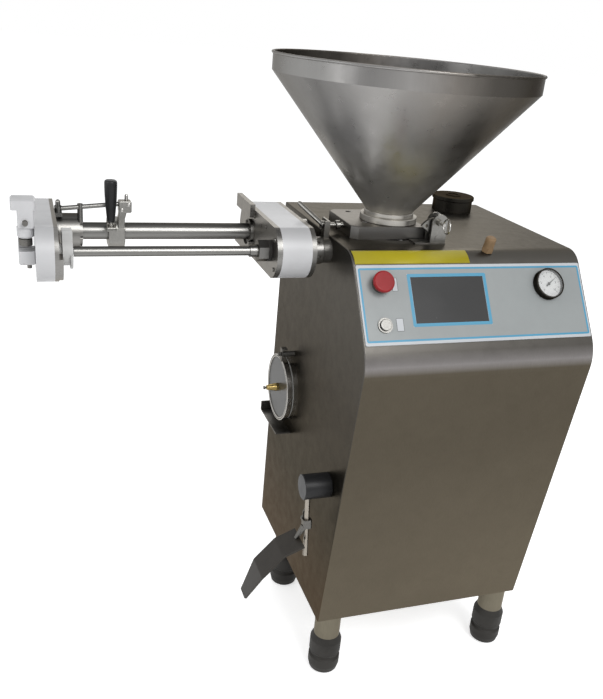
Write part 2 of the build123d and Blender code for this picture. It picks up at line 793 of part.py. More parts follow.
with BuildPart() as pot_fittings:
    with BuildSketch(looking_left(0, latch_from_edge, latch_height)):
        Circle(6)
    extrude(amount=latch_plane_out)
    with BuildSketch(looking_left(0, latch_from_edge, latch_height)):
        Circle(3)
    extrude(amount=latch_plane_out + strap_sheet + 7)
    with BuildSketch(looking_left(-latch_plane_out - strap_sheet - 1, latch_from_edge, latch_height)):
        Circle(4.5)
    extrude(amount=5)
    with BuildSketch(across(0)):
        with BuildLine():
            Polyline(
                (edge_y + ledge_front, ledge_height),
                (edge_y + ledge_rear, ledge_height),
                (edge_y + ledge_rear, ledge_height + ledge_lip),
                (edge_y + ledge_rear + ledge_sheet, ledge_height + ledge_lip),
                (edge_y + ledge_rear + ledge_sheet, ledge_height - ledge_sheet),
                (edge_y + ledge_front, ledge_height - ledge_sheet),
                (edge_y + ledge_front, ledge_height),
            )
        make_face()
    extrude(amount=-ledge_reach)
pot_fittings.part.label = "pot_fittings"
export_step(pot_fittings.part, "parts/pot_fittings.step")

with BuildPart() as lid_latch:
    with BuildSketch(looking_left(-latch_plane_out - 0.3, latch_from_edge, latch_height)):
        with Locations(((latch_rise - latch_drop) / 2, 0)):
            RectangleRounded(latch_rise + latch_drop, latch_width, 3)
        Circle(3 + running_gap, mode=Mode.SUBTRACT)
    extrude(amount=strap_sheet)
    with BuildSketch(looking_left(-latch_plane_out - 0.3, latch_from_edge, latch_height)):
        with Locations((latch_rise - strap_sheet / 2, 0)):
            Rectangle(strap_sheet, latch_width)
    extrude(amount=-9)
lid_latch.part.label = "lid_latch"
export_step(lid_latch.part, "parts/lid_latch.step")

# Knee switch: a hub that turns on the side wall, a rod with a clamp, and the knee paddle
rod_plane = Plane(
    origin=at(-knee_rod_out, hub_from_edge, hub_height),
    x_dir=(1, 0, 0),
    z_dir=(0, -sin(radians(knee_rod_lean)), -cos(radians(knee_rod_lean))),
)
clamp_center = Vector(rod_plane.from_local_coords((0, 0, clamp_down)))
clamp_size = 18.0
stem_way = Vector(-20, 0, -33)

with BuildPart() as knee_hub:
    with BuildSketch(looking_left(-lid_gap, hub_from_edge, hub_height)):
        Circle(hub_radius)
    extrude(amount=hub_length)
    chamfer(knee_hub.edges().group_by(Axis.X)[0], 1.2)
    with BuildSketch(looking_left(sheet + 12, hub_from_edge, hub_height)):
        Circle(hub_radius / 3 - running_gap)
    extrude(amount=sheet + 12 + 2)
    with BuildSketch(rod_plane.offset(hub_radius / 3)):
        Circle(knee_rod_radius)
    extrude(amount=hub_radius, mode=Mode.SUBTRACT)
knee_hub.part.label = "knee_hub"
export_step(knee_hub.part, "parts/knee_hub.step")

with BuildPart() as knee_rod:
    with BuildSketch(rod_plane.offset(hub_radius / 3)):
        Circle(knee_rod_radius)
    extrude(amount=knee_rod_length - hub_radius / 3)
    chamfer(knee_rod.edges().filter_by(GeomType.CIRCLE), 0.8)
knee_rod.part.label = "knee_rod"
export_step(knee_rod.part, "parts/knee_rod.step")

stem_end = clamp_center + stem_way
paddle_bend = stem_end + Vector(-75, 0, -62)
paddle_tip = paddle_bend + Vector(-28, 0, -58)

with BuildPart() as knee_paddle:
    with BuildSketch(Plane(origin=(0, stem_end.Y, 0), x_dir=(1, 0, 0), z_dir=(0, -1, 0))):
        with BuildLine():
            path = FilletPolyline(
                (stem_end.X + 8, stem_end.Z + 1),
                (stem_end.X - 34, stem_end.Z - 17),
                (paddle_bend.X, paddle_bend.Z),
                (paddle_tip.X, paddle_tip.Z),
                radius=12,
            )
            offset(path, amount=paddle_sheet, side=Side.LEFT)
        make_face()
    extrude(amount=paddle_width / 2, both=True)
    with BuildSketch(Plane.YZ.offset(paddle_tip.X - 20)):
        with BuildLine():
            Polyline(
                (stem_end.Y - paddle_width / 2, stem_end.Z + 20),
                (stem_end.Y + paddle_width / 2, stem_end.Z + 20),
                (stem_end.Y + paddle_width / 2, paddle_bend.Z),
                (stem_end.Y + paddle_tip_width / 2, paddle_tip.Z - 5),
                (stem_end.Y - paddle_tip_width / 2, paddle_tip.Z - 5),
                (stem_end.Y - paddle_width / 2, paddle_bend.Z),
                (stem_end.Y - paddle_width / 2, stem_end.Z + 20),
            )
        make_face()
    extrude(amount=300, mode=Mode.INTERSECT)
knee_paddle.part.label = "knee_paddle"
export_step(knee_paddle.part, "parts/knee_paddle.step")

with BuildPart() as rod_clamp:
    with BuildSketch(rod_plane.offset(clamp_down - clamp_size / 2)):
        RectangleRounded(clamp_size, clamp_size, 4)
        Circle(knee_rod_radius, mode=Mode.SUBTRACT)
    extrude(amount=clamp_size)
    with BuildSketch(Plane(origin=clamp_center + stem_way * 0.22, z_dir=stem_way)):
        Circle(7)
    with BuildSketch(Plane(origin=clamp_center + stem_way, z_dir=stem_way)):
        Circle(4)
    loft()
    with BuildSketch(rod_plane.offset(clamp_down - clamp_size)):
        Circle(knee_rod_radius)
    extrude(amount=clamp_size * 3, mode=Mode.SUBTRACT)
    add(knee_paddle.part, mode=Mode.SUBTRACT)
    with BuildSketch(Plane(origin=clamp_center + Vector(0, clamp_size, 0), z_dir=(0, -1, 0))):
        Circle(3 + running_gap)
    extrude(amount=clamp_size - knee_rod_radius, mode=Mode.SUBTRACT)
rod_clamp.part.label = "rod_clamp"
export_step(rod_clamp.part, "parts/rod_clamp.step")

with BuildPart() as wing_screw:
    screw_tip = clamp_center + Vector(0, knee_rod_radius + 1.0, 0)
    with BuildSketch(Plane(origin=screw_tip, z_dir=(0, 1, 0))):
        Circle(3)
    extrude(amount=clamp_size)
    with BuildSketch(Plane(origin=clamp_center + Vector(0, clamp_size / 2 + 2.5, 0), z_dir=(0, 1, 0))):
        Circle(6)
    extrude(amount=10)
    with BuildSketch(Plane(origin=clamp_center + Vector(0, clamp_size / 2 + 6, 0), z_dir=(0, -1, 0))):
        with Locations((15, 3), (-15, 3)):
            Ellipse(8, 7)
        Rectangle(20, 6)
    extrude(amount=-3)
wing_screw.part.label = "wing_screw"
export_step(wing_screw.part, "parts/wing_screw.step")

# Control panel: overlay, touch screen, gauge, emergency stop and push button
with BuildPart() as control_overlay:
    with BuildSketch(on_panel(cabinet_width / 2, panel_length / 2)):
        RectangleRounded(cabinet_width - 2 * overlay_margin, overlay_height, 3)
        with Locations(
            (
                screen_left + screen_width / 2 - cabinet_width / 2,
                panel_length / 2 - screen_down - screen_height / 2,
            )
        ):
            Rectangle(screen_width, screen_height, mode=Mode.SUBTRACT)
        for from_side, down, radius in (
            (estop_from_side, estop_down, estop_radius * 0.55),
            (button_from_side, button_down, button_radius * 0.75),
            (gauge_from_side, gauge_down, gauge_radius * 0.85),
        ):
            with Locations((from_side - cabinet_width / 2, panel_length / 2 - down)):
                Circle(radius, mode=Mode.SUBTRACT)
    extrude(amount=overlay_sheet)
control_overlay.part.label = "control_overlay"
export_step(control_overlay.part, "parts/control_overlay.step")

with BuildPart() as touch_screen:
    with BuildSketch(
        on_panel(screen_left + screen_width / 2, screen_down + screen_height / 2, overlay_sheet)
    ):
        Rectangle(screen_width, screen_height)
    extrude(amount=-screen_depth)
touch_screen.part.label = "touch_screen"
export_step(touch_screen.part, "parts/touch_screen.step")

gauge_out = 14.0
dial_out = 6.0
gauge_wall = 3.0
glass_sheet = 1.5
needle_out = dial_out + 1.5
needle_sheet = 0.8

with BuildPart() as gauge_case:
    with BuildSketch(on_panel(gauge_from_side, gauge_down, overlay_sheet)):
        Circle(gauge_radius)
    extrude(amount=gauge_out)
    fillet(gauge_case.edges().filter_by(GeomType.CIRCLE).sort_by(Axis.Z)[-1], 1.5)
    with BuildSketch(on_panel(gauge_from_side, gauge_down, overlay_sheet + dial_out)):
        Circle(gauge_radius - gauge_wall)
    extrude(amount=gauge_out, mode=Mode.SUBTRACT)
    with BuildSketch(on_panel(gauge_from_side, gauge_down, overlay_sheet)):
        Circle(gauge_radius * 0.8)
    extrude(amount=-screen_depth)
    with BuildSketch(on_panel(gauge_from_side, gauge_down, overlay_sheet + dial_out)):
        Circle(1.0 + running_gap)
    extrude(amount=-3.0, mode=Mode.SUBTRACT)
gauge_case.part.label = "gauge_case"
export_step(gauge_case.part, "parts/gauge_case.step")

needle_turn = 35.0

with BuildPart() as gauge_needle:
    with BuildSketch(on_panel(gauge_from_side, gauge_down, overlay_sheet + needle_out)):
        Circle(3)
        with BuildLine(Rotation(0, 0, needle_turn)):
            Polyline((-7, 1.6), (-7, -1.6), (gauge_radius - gauge_wall - 5, 0), (-7, 1.6))
        make_face()
    extrude(amount=needle_sheet)
    with BuildSketch(on_panel(gauge_from_side, gauge_down, overlay_sheet + needle_out)):
        Circle(1.0)
    extrude(amount=-4.0)
gauge_needle.part.label = "gauge_needle"
export_step(gauge_needle.part, "parts/gauge_needle.step")

with BuildPart() as gauge_glass:
    with BuildSketch(
        on_panel(gauge_from_side, gauge_down, overlay_sheet + gauge_out - glass_sheet - 1.0)
    ):
        Circle(gauge_radius - gauge_wall)
    extrude(amount=glass_sheet)
gauge_glass.part.label = "gauge_glass"
export_step(gauge_glass.part, "parts/gauge_glass.step")

collar_out = 6.0
estop_stem = estop_radius * 0.4
button_stem = button_radius - 3.5

with BuildPart() as button_collars:
    with BuildSketch(on_panel(estop_from_side, estop_down, overlay_sheet)):
        Circle(estop_radius * 0.8)
    extrude(amount=collar_out)
    with BuildSketch(on_panel(estop_from_side, estop_down, overlay_sheet)):
        Circle(estop_radius * 0.55)
    extrude(amount=-screen_depth)
    with BuildSketch(on_panel(estop_from_side, estop_down, overlay_sheet + collar_out)):
        Circle(estop_stem + running_gap)
    extrude(amount=-collar_out * 3, mode=Mode.SUBTRACT)
    with BuildSketch(on_panel(button_from_side, button_down, overlay_sheet)):
        Circle(button_radius)
    extrude(amount=collar_out / 2)
    with BuildSketch(on_panel(button_from_side, button_down, overlay_sheet)):
        Circle(button_radius * 0.75)
    extrude(amount=-screen_depth)
    with BuildSketch(on_panel(button_from_side, button_down, overlay_sheet + collar_out / 2)):
        Circle(button_stem + running_gap - 2)
    extrude(amount=-collar_out * 2, mode=Mode.SUBTRACT)
button_collars.part.label = "button_collars"
export_step(button_collars.part, "parts/button_collars.step")

estop_travel = 4.0
button_travel = 2.0

with BuildPart() as estop_head:
    with BuildSketch(
        on_panel(estop_from_side, estop_down, overlay_sheet + collar_out + estop_travel + 0.5)
    ):
        Circle(estop_radius - 2)
    with BuildSketch(
        on_panel(estop_from_side, estop_down, overlay_sheet + collar_out + estop_travel + 5.0)
    ):
        Circle(estop_radius)
    loft()
    with BuildSketch(
        on_panel(estop_from_side, estop_down, overlay_sheet + collar_out + estop_travel + 5.0)
    ):
        Circle(estop_radius)
    extrude(amount=7)
    fillet(estop_head.edges().sort_by(Axis(panel.origin, panel.z_dir))[-1], 3)
    with BuildSketch(
        on_panel(estop_from_side, estop_down, overlay_sheet + collar_out + estop_travel + 0.5)
    ):
        Circle(estop_stem)
    extrude(amount=-estop_travel - collar_out)
estop_head.part.label = "estop_head"
export_step(estop_head.part, "parts/estop_head.step")

with BuildPart() as button_cap:
    with BuildSketch(
        on_panel(button_from_side, button_down, overlay_sheet + collar_out / 2 + button_travel + 0.4)
    ):
        Circle(button_stem)
    extrude(amount=2)
    fillet(button_cap.edges().sort_by(Axis(panel.origin, panel.z_dir))[-1], 1)
    with BuildSketch(
        on_panel(button_from_side, button_down, overlay_sheet + collar_out / 2 + button_travel + 0.4)
    ):
        Circle(button_stem - 2)
    extrude(amount=-collar_out)
button_cap.part.label = "button_cap"
export_step(button_cap.part, "parts/button_cap.step")

# Vent cap and exhaust silencer on the top
with BuildPart() as vent_neck:
    with BuildSketch(on_top(vent_from_side, vent_from_edge, top_height)):
        Circle(vent_radius)
        Circle(vent_radius / 2 - 4, mode=Mode.SUBTRACT)
    extrude(amount=vent_height)
    with BuildSketch(on_top(vent_from_side, vent_from_edge, top_height)):
        Circle(vent_radius / 2)
        Circle(vent_radius / 2 - 4, mode=Mode.SUBTRACT)
    extrude(amount=-screen_depth)
vent_neck.part.label = "vent_neck"
export_step(vent_neck.part, "parts/vent_neck.step")

with BuildPart() as vent_cap:
    with BuildSketch(on_top(vent_from_side, vent_from_edge, top_height + vent_height + lid_gap)):
        Circle(vent_cap_radius)
    extrude(amount=vent_cap_height)
    chamfer(vent_cap.edges().filter_by(GeomType.CIRCLE), 1.5)
    with BuildSketch(
        on_top(vent_from_side, vent_from_edge, top_height + vent_height + lid_gap + vent_cap_height)
    ):
        Circle(vent_cap_radius * 0.36)
        Circle(vent_cap_radius * 0.26, mode=Mode.SUBTRACT)
    extrude(amount=1.5)
vent_cap.part.label = "vent_cap"
export_step(vent_cap.part, "parts/vent_cap.step")

with BuildPart() as silencer:
    with BuildSketch(silencer_plane):
        RegularPolygon(silencer_radius * 1.15, 6)
    extrude(amount=silencer_height * 0.3)
    with BuildSketch(silencer_plane):
        Circle(silencer_radius)
    extrude(amount=silencer_height)
    fillet(silencer.edges().filter_by(GeomType.CIRCLE).sort_by(Axis.Z)[-1], 4)
    with BuildSketch(silencer_plane):
        Circle(silencer_radius / 2)
    extrude(amount=-sheet * 3)
silencer.part.label = "silencer"
export_step(silencer.part, "parts/silencer.step")

# Linker arm. Every cross-section of it is drawn looking along the arm from the cabinet
def along_arm(x):
    """Plane facing -X on the product axis at x from the cabinet's left side."""
    return looking_left(x, product_from_edge, arm_height)


def along_main(x):
    """Plane facing -X on the main axis at x from the cabinet's left side."""
    return looking_left(x, product_from_edge + axis_spacing, arm_height)


def case_outline(inset):
    """Outline of a belt case on its sketch plane: a band round both axes with flat top and bottom."""
    reach = axis_spacing + case_tail
    with BuildSketch(Plane.XY) as outline:
        with Locations((0, 0), (0, reach)):
            Circle(case_end_radius - inset)
        with Locations((0, reach / 2)):
            Rectangle(2 * (case_end_radius - inset), reach)
            Rectangle(
                2 * (case_half_height - inset),
                reach + 3 * case_end_radius,
                mode=Mode.INTERSECT,
            )
    return outline.sketch


# Outlet pipe of the pump and its ring nut
with BuildPart() as outlet_pipe:
    with BuildSketch(along_arm(port_end)):
        Circle(outlet_radius)
    extrude(amount=port_end + ring_nut_start + ring_nut_width - 6)
    with BuildSketch(along_arm(0)):
        Circle(outlet_radius + 2)
    extrude(amount=ring_nut_start)
    with BuildSketch(along_arm(port_end)):
        Circle(outlet_bore)
    extrude(amount=port_end + ring_nut_start + ring_nut_width, mode=Mode.SUBTRACT)
outlet_pipe.part.label = "outlet_pipe"
export_step(outlet_pipe.part, "parts/outlet_pipe.step")

nozzle_hub = 14.0
nut_end = ring_nut_start + ring_nut_width

with BuildPart() as ring_nut:
    with BuildSketch(along_arm(-ring_nut_start)):
        Circle(ring_nut_radius)
    extrude(amount=ring_nut_width)
    chamfer(ring_nut.edges().filter_by(GeomType.CIRCLE), 1.5)
    with BuildSketch(along_arm(-ring_nut_start)):
        Circle(outlet_radius)
    extrude(amount=ring_nut_width - 6, mode=Mode.SUBTRACT)
    with BuildSketch(along_arm(-ring_nut_start)):
        Circle(nozzle_hub + running_gap)
    extrude(amount=ring_nut_width, mode=Mode.SUBTRACT)
    for angle in (20, 80, 140, 200, 260, 320):
        hole_plane = Plane(
            origin=at(-ring_nut_start - ring_nut_width / 2, product_from_edge, arm_height),
            z_dir=(0, sin(radians(angle)), cos(radians(angle))),
        )
        with BuildSketch(hole_plane.offset(ring_nut_radius - 3)):
            Circle(3)
        extrude(amount=5, mode=Mode.SUBTRACT)
ring_nut.part.label = "ring_nut"
export_step(ring_nut.part, "parts/ring_nut.step")

# Near belt case: plate and bearing boss at the cabinet, white case, cover plate with its blocks
near_case_start = near_plate_start + near_plate
near_case_end = near_case_start + near_case
cover_end = near_case_end + near_cover
block_end = cover_end + 10.0
cover_bolts = (
    (28, -30),
    (-28, -30),
    (36, 34),
    (-36, 70),
    (36, 116),
    (-36, 116),
)

with BuildPart() as near_plates:
    with BuildSketch(along_main(0)):
        Circle(26)
    extrude(amount=near_plate_start)
    with BuildSketch(along_arm(-near_plate_start)):
        add(case_outline(0))
    extrude(amount=near_plate)
    with BuildSketch(along_arm(-near_case_end)):
        add(case_outline(0))
    extrude(amount=near_cover)
    with BuildSketch(along_arm(-cover_end)):
        with Locations((46.5, 170.5), (-28.5, 168.5)):
            Rectangle(26, 107)
    extrude(amount=block_end - cover_end)
    with BuildSketch(along_arm(-cover_end)):
        with Locations(*cover_bolts):
            Circle(4)
    extrude(amount=2.5)
    with BuildSketch(along_arm(0)):
        Circle(nozzle_hub + running_gap)
    extrude(amount=cover_end, mode=Mode.SUBTRACT)
    with BuildSketch(along_main(0)):
        Circle(main_shaft_radius + running_gap)
    extrude(amount=cover_end, mode=Mode.SUBTRACT)
    with BuildSketch(along_main(-cover_end)):
        Circle(26)
    extrude(amount=20, mode=Mode.SUBTRACT)
near_plates.part.label = "near_plates"
export_step(near_plates.part, "parts/near_plates.step")

with BuildPart() as near_belt_case:
    with BuildSketch(along_arm(-near_case_start)):
        add(case_outline(0))
        add(case_outline(case_wall), mode=Mode.SUBTRACT)
    extrude(amount=near_case)
near_belt_case.part.label = "near_belt_case"
export_step(near_belt_case.part, "parts/near_belt_case.step")

pulley_mid = near_case_start + near_case / 2
far_case_end = far_case_left - far_case
far_pulley_mid = far_case_left - far_case / 2 - 1.0
pulley_width = 18.0
wheel_width = 24.0
belt_inner = pulley_radius + lid_gap

with BuildPart() as near_belt:
    with BuildSketch(along_arm(-pulley_mid + belt_width / 2)):
        with Locations((0, axis_spacing / 2)):
            SlotCenterToCenter(axis_spacing, 2 * (belt_inner + belt_thickness), rotation=90)
            SlotCenterToCenter(axis_spacing, 2 * belt_inner, rotation=90, mode=Mode.SUBTRACT)
    extrude(amount=belt_width)
near_belt.part.label = "near_belt"
export_step(near_belt.part, "parts/near_belt.step")

with BuildPart() as far_belt:
    with BuildSketch(along_arm(-far_pulley_mid + pulley_width / 2 - 1)):
        with Locations((0, axis_spacing / 2)):
            SlotCenterToCenter(axis_spacing, 2 * (belt_inner + belt_thickness), rotation=90)
            SlotCenterToCenter(axis_spacing, 2 * belt_inner, rotation=90, mode=Mode.SUBTRACT)
    extrude(amount=pulley_width - 2)
far_belt.part.label = "far_belt"
export_step(far_belt.part, "parts/far_belt.step")

# Main tube on the cover, and the linker shaft inside it with a pulley in each case
with BuildPart() as main_tube:
    with BuildSketch(along_main(-cover_end)):
        Circle(main_tube_radius)
    extrude(amount=main_tube_end - cover_end)
    with BuildSketch(along_main(-cover_end)):
        Circle(25)
    extrude(amount=6)
    with BuildSketch(along_main(-cover_end)):
        with PolarLocations(20.5, 4, start_angle=30):
            Circle(2.8)
    extrude(amount=8.5)
    with BuildSketch(along_main(-cover_end)):
        Circle(main_tube_radius - main_tube_wall)
    extrude(amount=main_tube_end - cover_end, mode=Mode.SUBTRACT)
main_tube.part.label = "main_tube"
export_step(main_tube.part, "parts/main_tube.step")

shaft_start = sheet + 23.0

with BuildPart() as linker_shaft:
    with BuildSketch(along_main(shaft_start)):
        Circle(main_shaft_radius)
    extrude(amount=shaft_start + far_case_left - 5)
    with BuildSketch(along_main(-pulley_mid + wheel_width / 2)):
        Circle(pulley_radius)
    extrude(amount=wheel_width)
    with BuildSketch(along_main(-far_pulley_mid + pulley_width / 2)):
        Circle(pulley_radius)
    extrude(amount=pulley_width)
linker_shaft.part.label = "linker_shaft"
export_step(linker_shaft.part, "parts/linker_shaft.step")

# Nozzle: tube, union nut and driven pulley in one turning piece
nozzle_start = nut_end - 4.0
seal_end = cover_end + 7.0
nut_out = seal_end + nozzle_nut_length

with BuildPart() as nozzle:
    with BuildSketch(along_arm(-nozzle_start)):
        Circle(nozzle_hub)
    extrude(amount=seal_end - nozzle_start)
    with BuildSketch(along_arm(-pulley_mid + wheel_width / 2)):
        Circle(pulley_radius)
    extrude(amount=wheel_width)
    with BuildSketch(along_arm(-seal_end)):
        RegularPolygon(nozzle_nut_width / 2, 6, major_radius=False)
    extrude(amount=nozzle_nut_length)
    with BuildSketch(along_arm(-nut_out)):
        Circle(nozzle_collar)
    extrude(amount=15)
    with BuildSketch(along_arm(-nut_out)):
        Circle(nozzle_radius)
    extrude(amount=nozzle_end - nut_out)
    with BuildSketch(along_arm(-nozzle_start)):
        Circle(nozzle_bore)
    extrude(amount=nozzle_end - nozzle_start, mode=Mode.SUBTRACT)
nozzle.part.label = "nozzle"
export_step(nozzle.part, "parts/nozzle.step")

with BuildPart() as seal_ring:
    with BuildSketch(along_arm(-cover_end - lid_gap)):
        Circle(seal_radius)
        Circle(nozzle_hub, mode=Mode.SUBTRACT)
    extrude(amount=seal_end - cover_end - lid_gap)
seal_ring.part.label = "seal_ring"
export_step(seal_ring.part, "parts/seal_ring.step")

# Far belt case with its plates, drum and casing guide; all of it swings on the main tube
plate_end = far_case_end - far_plate
low_plate_end = plate_end - far_plate
far_case_face = 4.0

with BuildPart() as far_belt_case:
    with BuildSketch(along_arm(-far_case_end)):
        add(case_outline(0))
    extrude(amount=far_case)
    with BuildSketch(along_arm(-far_case_end)):
        add(case_outline(case_wall))
    extrude(amount=far_case - far_case_face, mode=Mode.SUBTRACT)
    with BuildSketch(along_arm(-far_case_end)):
        Circle(nozzle_hub + running_gap)
    extrude(amount=far_case, mode=Mode.SUBTRACT)
far_belt_case.part.label = "far_belt_case"
export_step(far_belt_case.part, "parts/far_belt_case.step")

eye_back = 120.0
eye_height = 46.5
rod_block_height = 56.5
rod_block_x = 382.0
rod_block_start = 358.0
rod_start = Vector(at(-low_plate_end, product_from_edge + eye_back, arm_height + eye_height))
rod_end = Vector(at(-rod_block_x, product_from_edge + eye_back, arm_height + rod_block_height))

with BuildPart() as far_plates:
    with BuildSketch(along_arm(-plate_end)):
        add(case_outline(0))
    extrude(amount=far_plate)
    with BuildSketch(along_arm(-low_plate_end)):
        add(case_outline(2))
        with Locations((-case_half_height / 2 - 2, (axis_spacing + case_tail) / 2)):
            Rectangle(case_half_height + 4, 400, mode=Mode.INTERSECT)
        with Locations((0, axis_spacing)):
            Circle(drum_radius)
    extrude(amount=far_plate)
    with BuildSketch(looking_left(-low_plate_end + 7, product_from_edge + eye_back, arm_height)):
        with Locations((36.5, 0)):
            Rectangle(7, 14)
    extrude(amount=14 + 2)
    with BuildSketch(along_arm(-low_plate_end)):
        Circle(nozzle_hub + running_gap)
    extrude(amount=far_plate * 2, mode=Mode.SUBTRACT)
    with BuildSketch(along_main(-low_plate_end)):
        Circle(main_shaft_radius + running_gap)
    extrude(amount=far_plate * 2, mode=Mode.SUBTRACT)
far_plates.part.label = "far_plates"
export_step(far_plates.part, "parts/far_plates.step")

with BuildPart() as push_rod:
    with BuildSketch(Plane(origin=rod_start, z_dir=rod_end - rod_start)):
        Circle(rod_radius)
    extrude(amount=(rod_end - rod_start).length)
    with BuildSketch(on_top(-low_plate_end, product_from_edge + eye_back, arm_height + 40)):
        Circle(6.5)
    extrude(amount=12)
    with BuildSketch(on_top(-low_plate_end, product_from_edge + eye_back, arm_height + 52)):
        Circle(4.5)
    extrude(amount=7)
    with Locations(at(-low_plate_end, product_from_edge + eye_back, arm_height + 59)):
        Sphere(4.5)
push_rod.part.label = "push_rod"
export_step(push_rod.part, "parts/push_rod.step")

post_x = drum_right - 1.0

with BuildPart() as head_drum:
    with BuildSketch(along_main(-drum_right)):
        Circle(drum_radius)
    extrude(amount=low_plate_end - drum_right)
    with BuildSketch(along_main(-drum_right + 5)):
        Circle(drum_radius - 6)
    extrude(amount=5)
    with BuildSketch(along_main(-drum_right + 5)):
        with PolarLocations(drum_radius - 3.5, 6, start_angle=15):
            Circle(2.8)
    extrude(amount=5)
    with BuildSketch(on_top(-post_x, product_from_edge + eye_back, arm_height + 20)):
        Circle(5)
    extrude(amount=36)
    with BuildSketch(along_main(-drum_right + 5)):
        Circle(main_tube_radius + running_gap)
    extrude(amount=main_tube_end - drum_right + 6, mode=Mode.SUBTRACT)
    with BuildSketch(along_main(-drum_right)):
        Circle(main_tube_radius - main_tube_wall)
    extrude(amount=low_plate_end - drum_right, mode=Mode.SUBTRACT)
    add(push_rod.part, mode=Mode.SUBTRACT)
head_drum.part.label = "head_drum"
export_step(head_drum.part, "parts/head_drum.step")

guide_bore = 11.0

with BuildPart() as casing_guide:
    with BuildSketch(along_arm(-low_plate_end + 17)):
        Circle(24)
        with Locations((18, 6)):
            Rectangle(36, 36)
        Circle(guide_bore, mode=Mode.SUBTRACT)
        with Locations((30, 6)):
            Rectangle(26, 3, mode=Mode.SUBTRACT)
    extrude(amount=17)
    with BuildSketch(along_arm(-low_plate_end + 17)):
        Circle(30)
        Circle(guide_bore, mode=Mode.SUBTRACT)
        with Locations((30, 0)):
            Rectangle(60, 62, mode=Mode.SUBTRACT)
    extrude(amount=4)
casing_guide.part.label = "casing_guide"
export_step(casing_guide.part, "parts/casing_guide.step")

# Lever collar on the main tube, its grip and the block that takes the push rod
grip_x = 397.0
grip_back = 104.0
grip_low = arm_height + 18.5

with BuildPart() as lever_collar:
    with BuildSketch(along_main(-collar_from_side + collar_width / 2)):
        Circle(lever_collar_radius)
        with Locations((-10, 0)):
            Rectangle(36, lever_collar_radius * 1.8)
    extrude(amount=collar_width)
    with BuildSketch(along_main(-collar_from_side + collar_width / 2)):
        with Locations((30, -20)):
            Rectangle(30, 16)
    extrude(amount=14)
    with BuildSketch(along_main(-rod_block_start)):
        with Locations((52.5, -20)):
            RectangleRounded(22, 20, 2)
    extrude(amount=rod_block_x - rod_block_start)
    with BuildSketch(on_top(-367, product_from_edge + eye_back, arm_height + 63.5)):
        Circle(3.5)
    extrude(amount=12)
    with BuildSketch(on_top(-grip_x, product_from_edge + grip_back, grip_low - 8 - lid_gap)):
        Circle(10)
        with Locations((4, 12)):
            Rectangle(14, 24)
    extrude(amount=8)
    with BuildSketch(on_top(-grip_x, product_from_edge + grip_back, grip_low - 8)):
        Circle(4)
    extrude(amount=8 + grip_length + 3)
    with BuildSketch(
        on_top(-grip_x, product_from_edge + grip_back, grip_low + grip_length + lid_gap)
    ):
        Circle(7)
    extrude(amount=4)
    with BuildSketch(along_main(-collar_from_side + collar_width)):
        Circle(main_tube_radius + running_gap)
    extrude(amount=collar_width * 2, mode=Mode.SUBTRACT)
    add(push_rod.part, mode=Mode.SUBTRACT)
lever_collar.part.label = "lever_collar"
export_step(lever_collar.part, "parts/lever_collar.step")

with BuildPart() as handle_grip:
    with BuildSketch(on_top(-grip_x, product_from_edge + grip_back, grip_low)):
        Circle(grip_low_radius)
    with BuildSketch(on_top(-grip_x, product_from_edge + grip_back, grip_low + grip_length)):
        Circle(grip_top_radius)
    loft()
    fillet(handle_grip.edges().group_by(Axis.Z)[-1], 3)
    with BuildSketch(on_top(-grip_x, product_from_edge + grip_back, grip_low)):
        Circle(4 + running_gap)
    extrude(amount=grip_length, mode=Mode.SUBTRACT)
handle_grip.part.label = "handle_grip"
export_step(handle_grip.part, "parts/handle_grip.step")

# Casing brake on the far case: its body, stem, knob and the driven brake pulley
brake_deep = 16.0
brake_rear = 22.0
brake_mid = product_from_edge + (brake_rear - brake_deep) / 2
brake_half = brake_out - far_case_left
casing_way = 10.0

with BuildPart() as brake_body:
    with BuildSketch(on_top(-brake_out + 1, brake_mid, arm_height - 19.5)):
        RectangleRounded(27, brake_deep + brake_rear, 3)
    extrude(amount=24)
    chamfer(brake_body.faces().sort_by(Axis.Z)[0].edges(), 2.5)
    with BuildSketch(on_top(-brake_out - 2, product_from_edge + brake_rear - 3.75, arm_height)):
        Rectangle(21, 7.5)
    extrude(amount=46)
    with BuildSketch(on_top(-brake_out + 1, brake_mid, arm_height + 44.5)):
        RectangleRounded(27, brake_deep + brake_rear, 3)
    extrude(amount=30)
    with BuildSketch(on_top(-(arm_reach + far_case_left - 3) / 2, brake_mid, arm_height + 74.5)):
        RectangleRounded(arm_reach - far_case_left + 3, brake_deep + brake_rear, 5)
    extrude(amount=18)
    chamfer(brake_body.faces().sort_by(Axis.Z)[-1].edges(), 2.5)
    with BuildSketch(along_arm(-far_case_left)):
        Circle(casing_way)
    extrude(amount=brake_half * 3, mode=Mode.SUBTRACT)
    with BuildSketch(on_top(-brake_out, product_from_edge, arm_height + 44.5)):
        Circle(8 + running_gap)
    extrude(amount=12, mode=Mode.SUBTRACT)
brake_body.part.label = "brake_body"
export_step(brake_body.part, "parts/brake_body.step")

with BuildPart() as brake_stem:
    with BuildSketch(on_top(-brake_out, product_from_edge, arm_height + casing_way + 1)):
        Circle(8)
    extrude(amount=44.5 - casing_way - 1 + 11)
    with BuildSketch(on_top(-brake_out, product_from_edge, arm_height + 12.5)):
        Circle(11)
    extrude(amount=11)
    with BuildSketch(facing_front(-brake_out, product_from_edge - brake_deep, arm_height + 54.5)):
        Circle(4.5)
    extrude(amount=9)
    with BuildSketch(on_top(-brake_out + 4.5, product_from_edge, arm_height - 19.5)):
        Circle(4)
    extrude(amount=-9)
brake_stem.part.label = "brake_stem"
export_step(brake_stem.part, "parts/brake_stem.step")

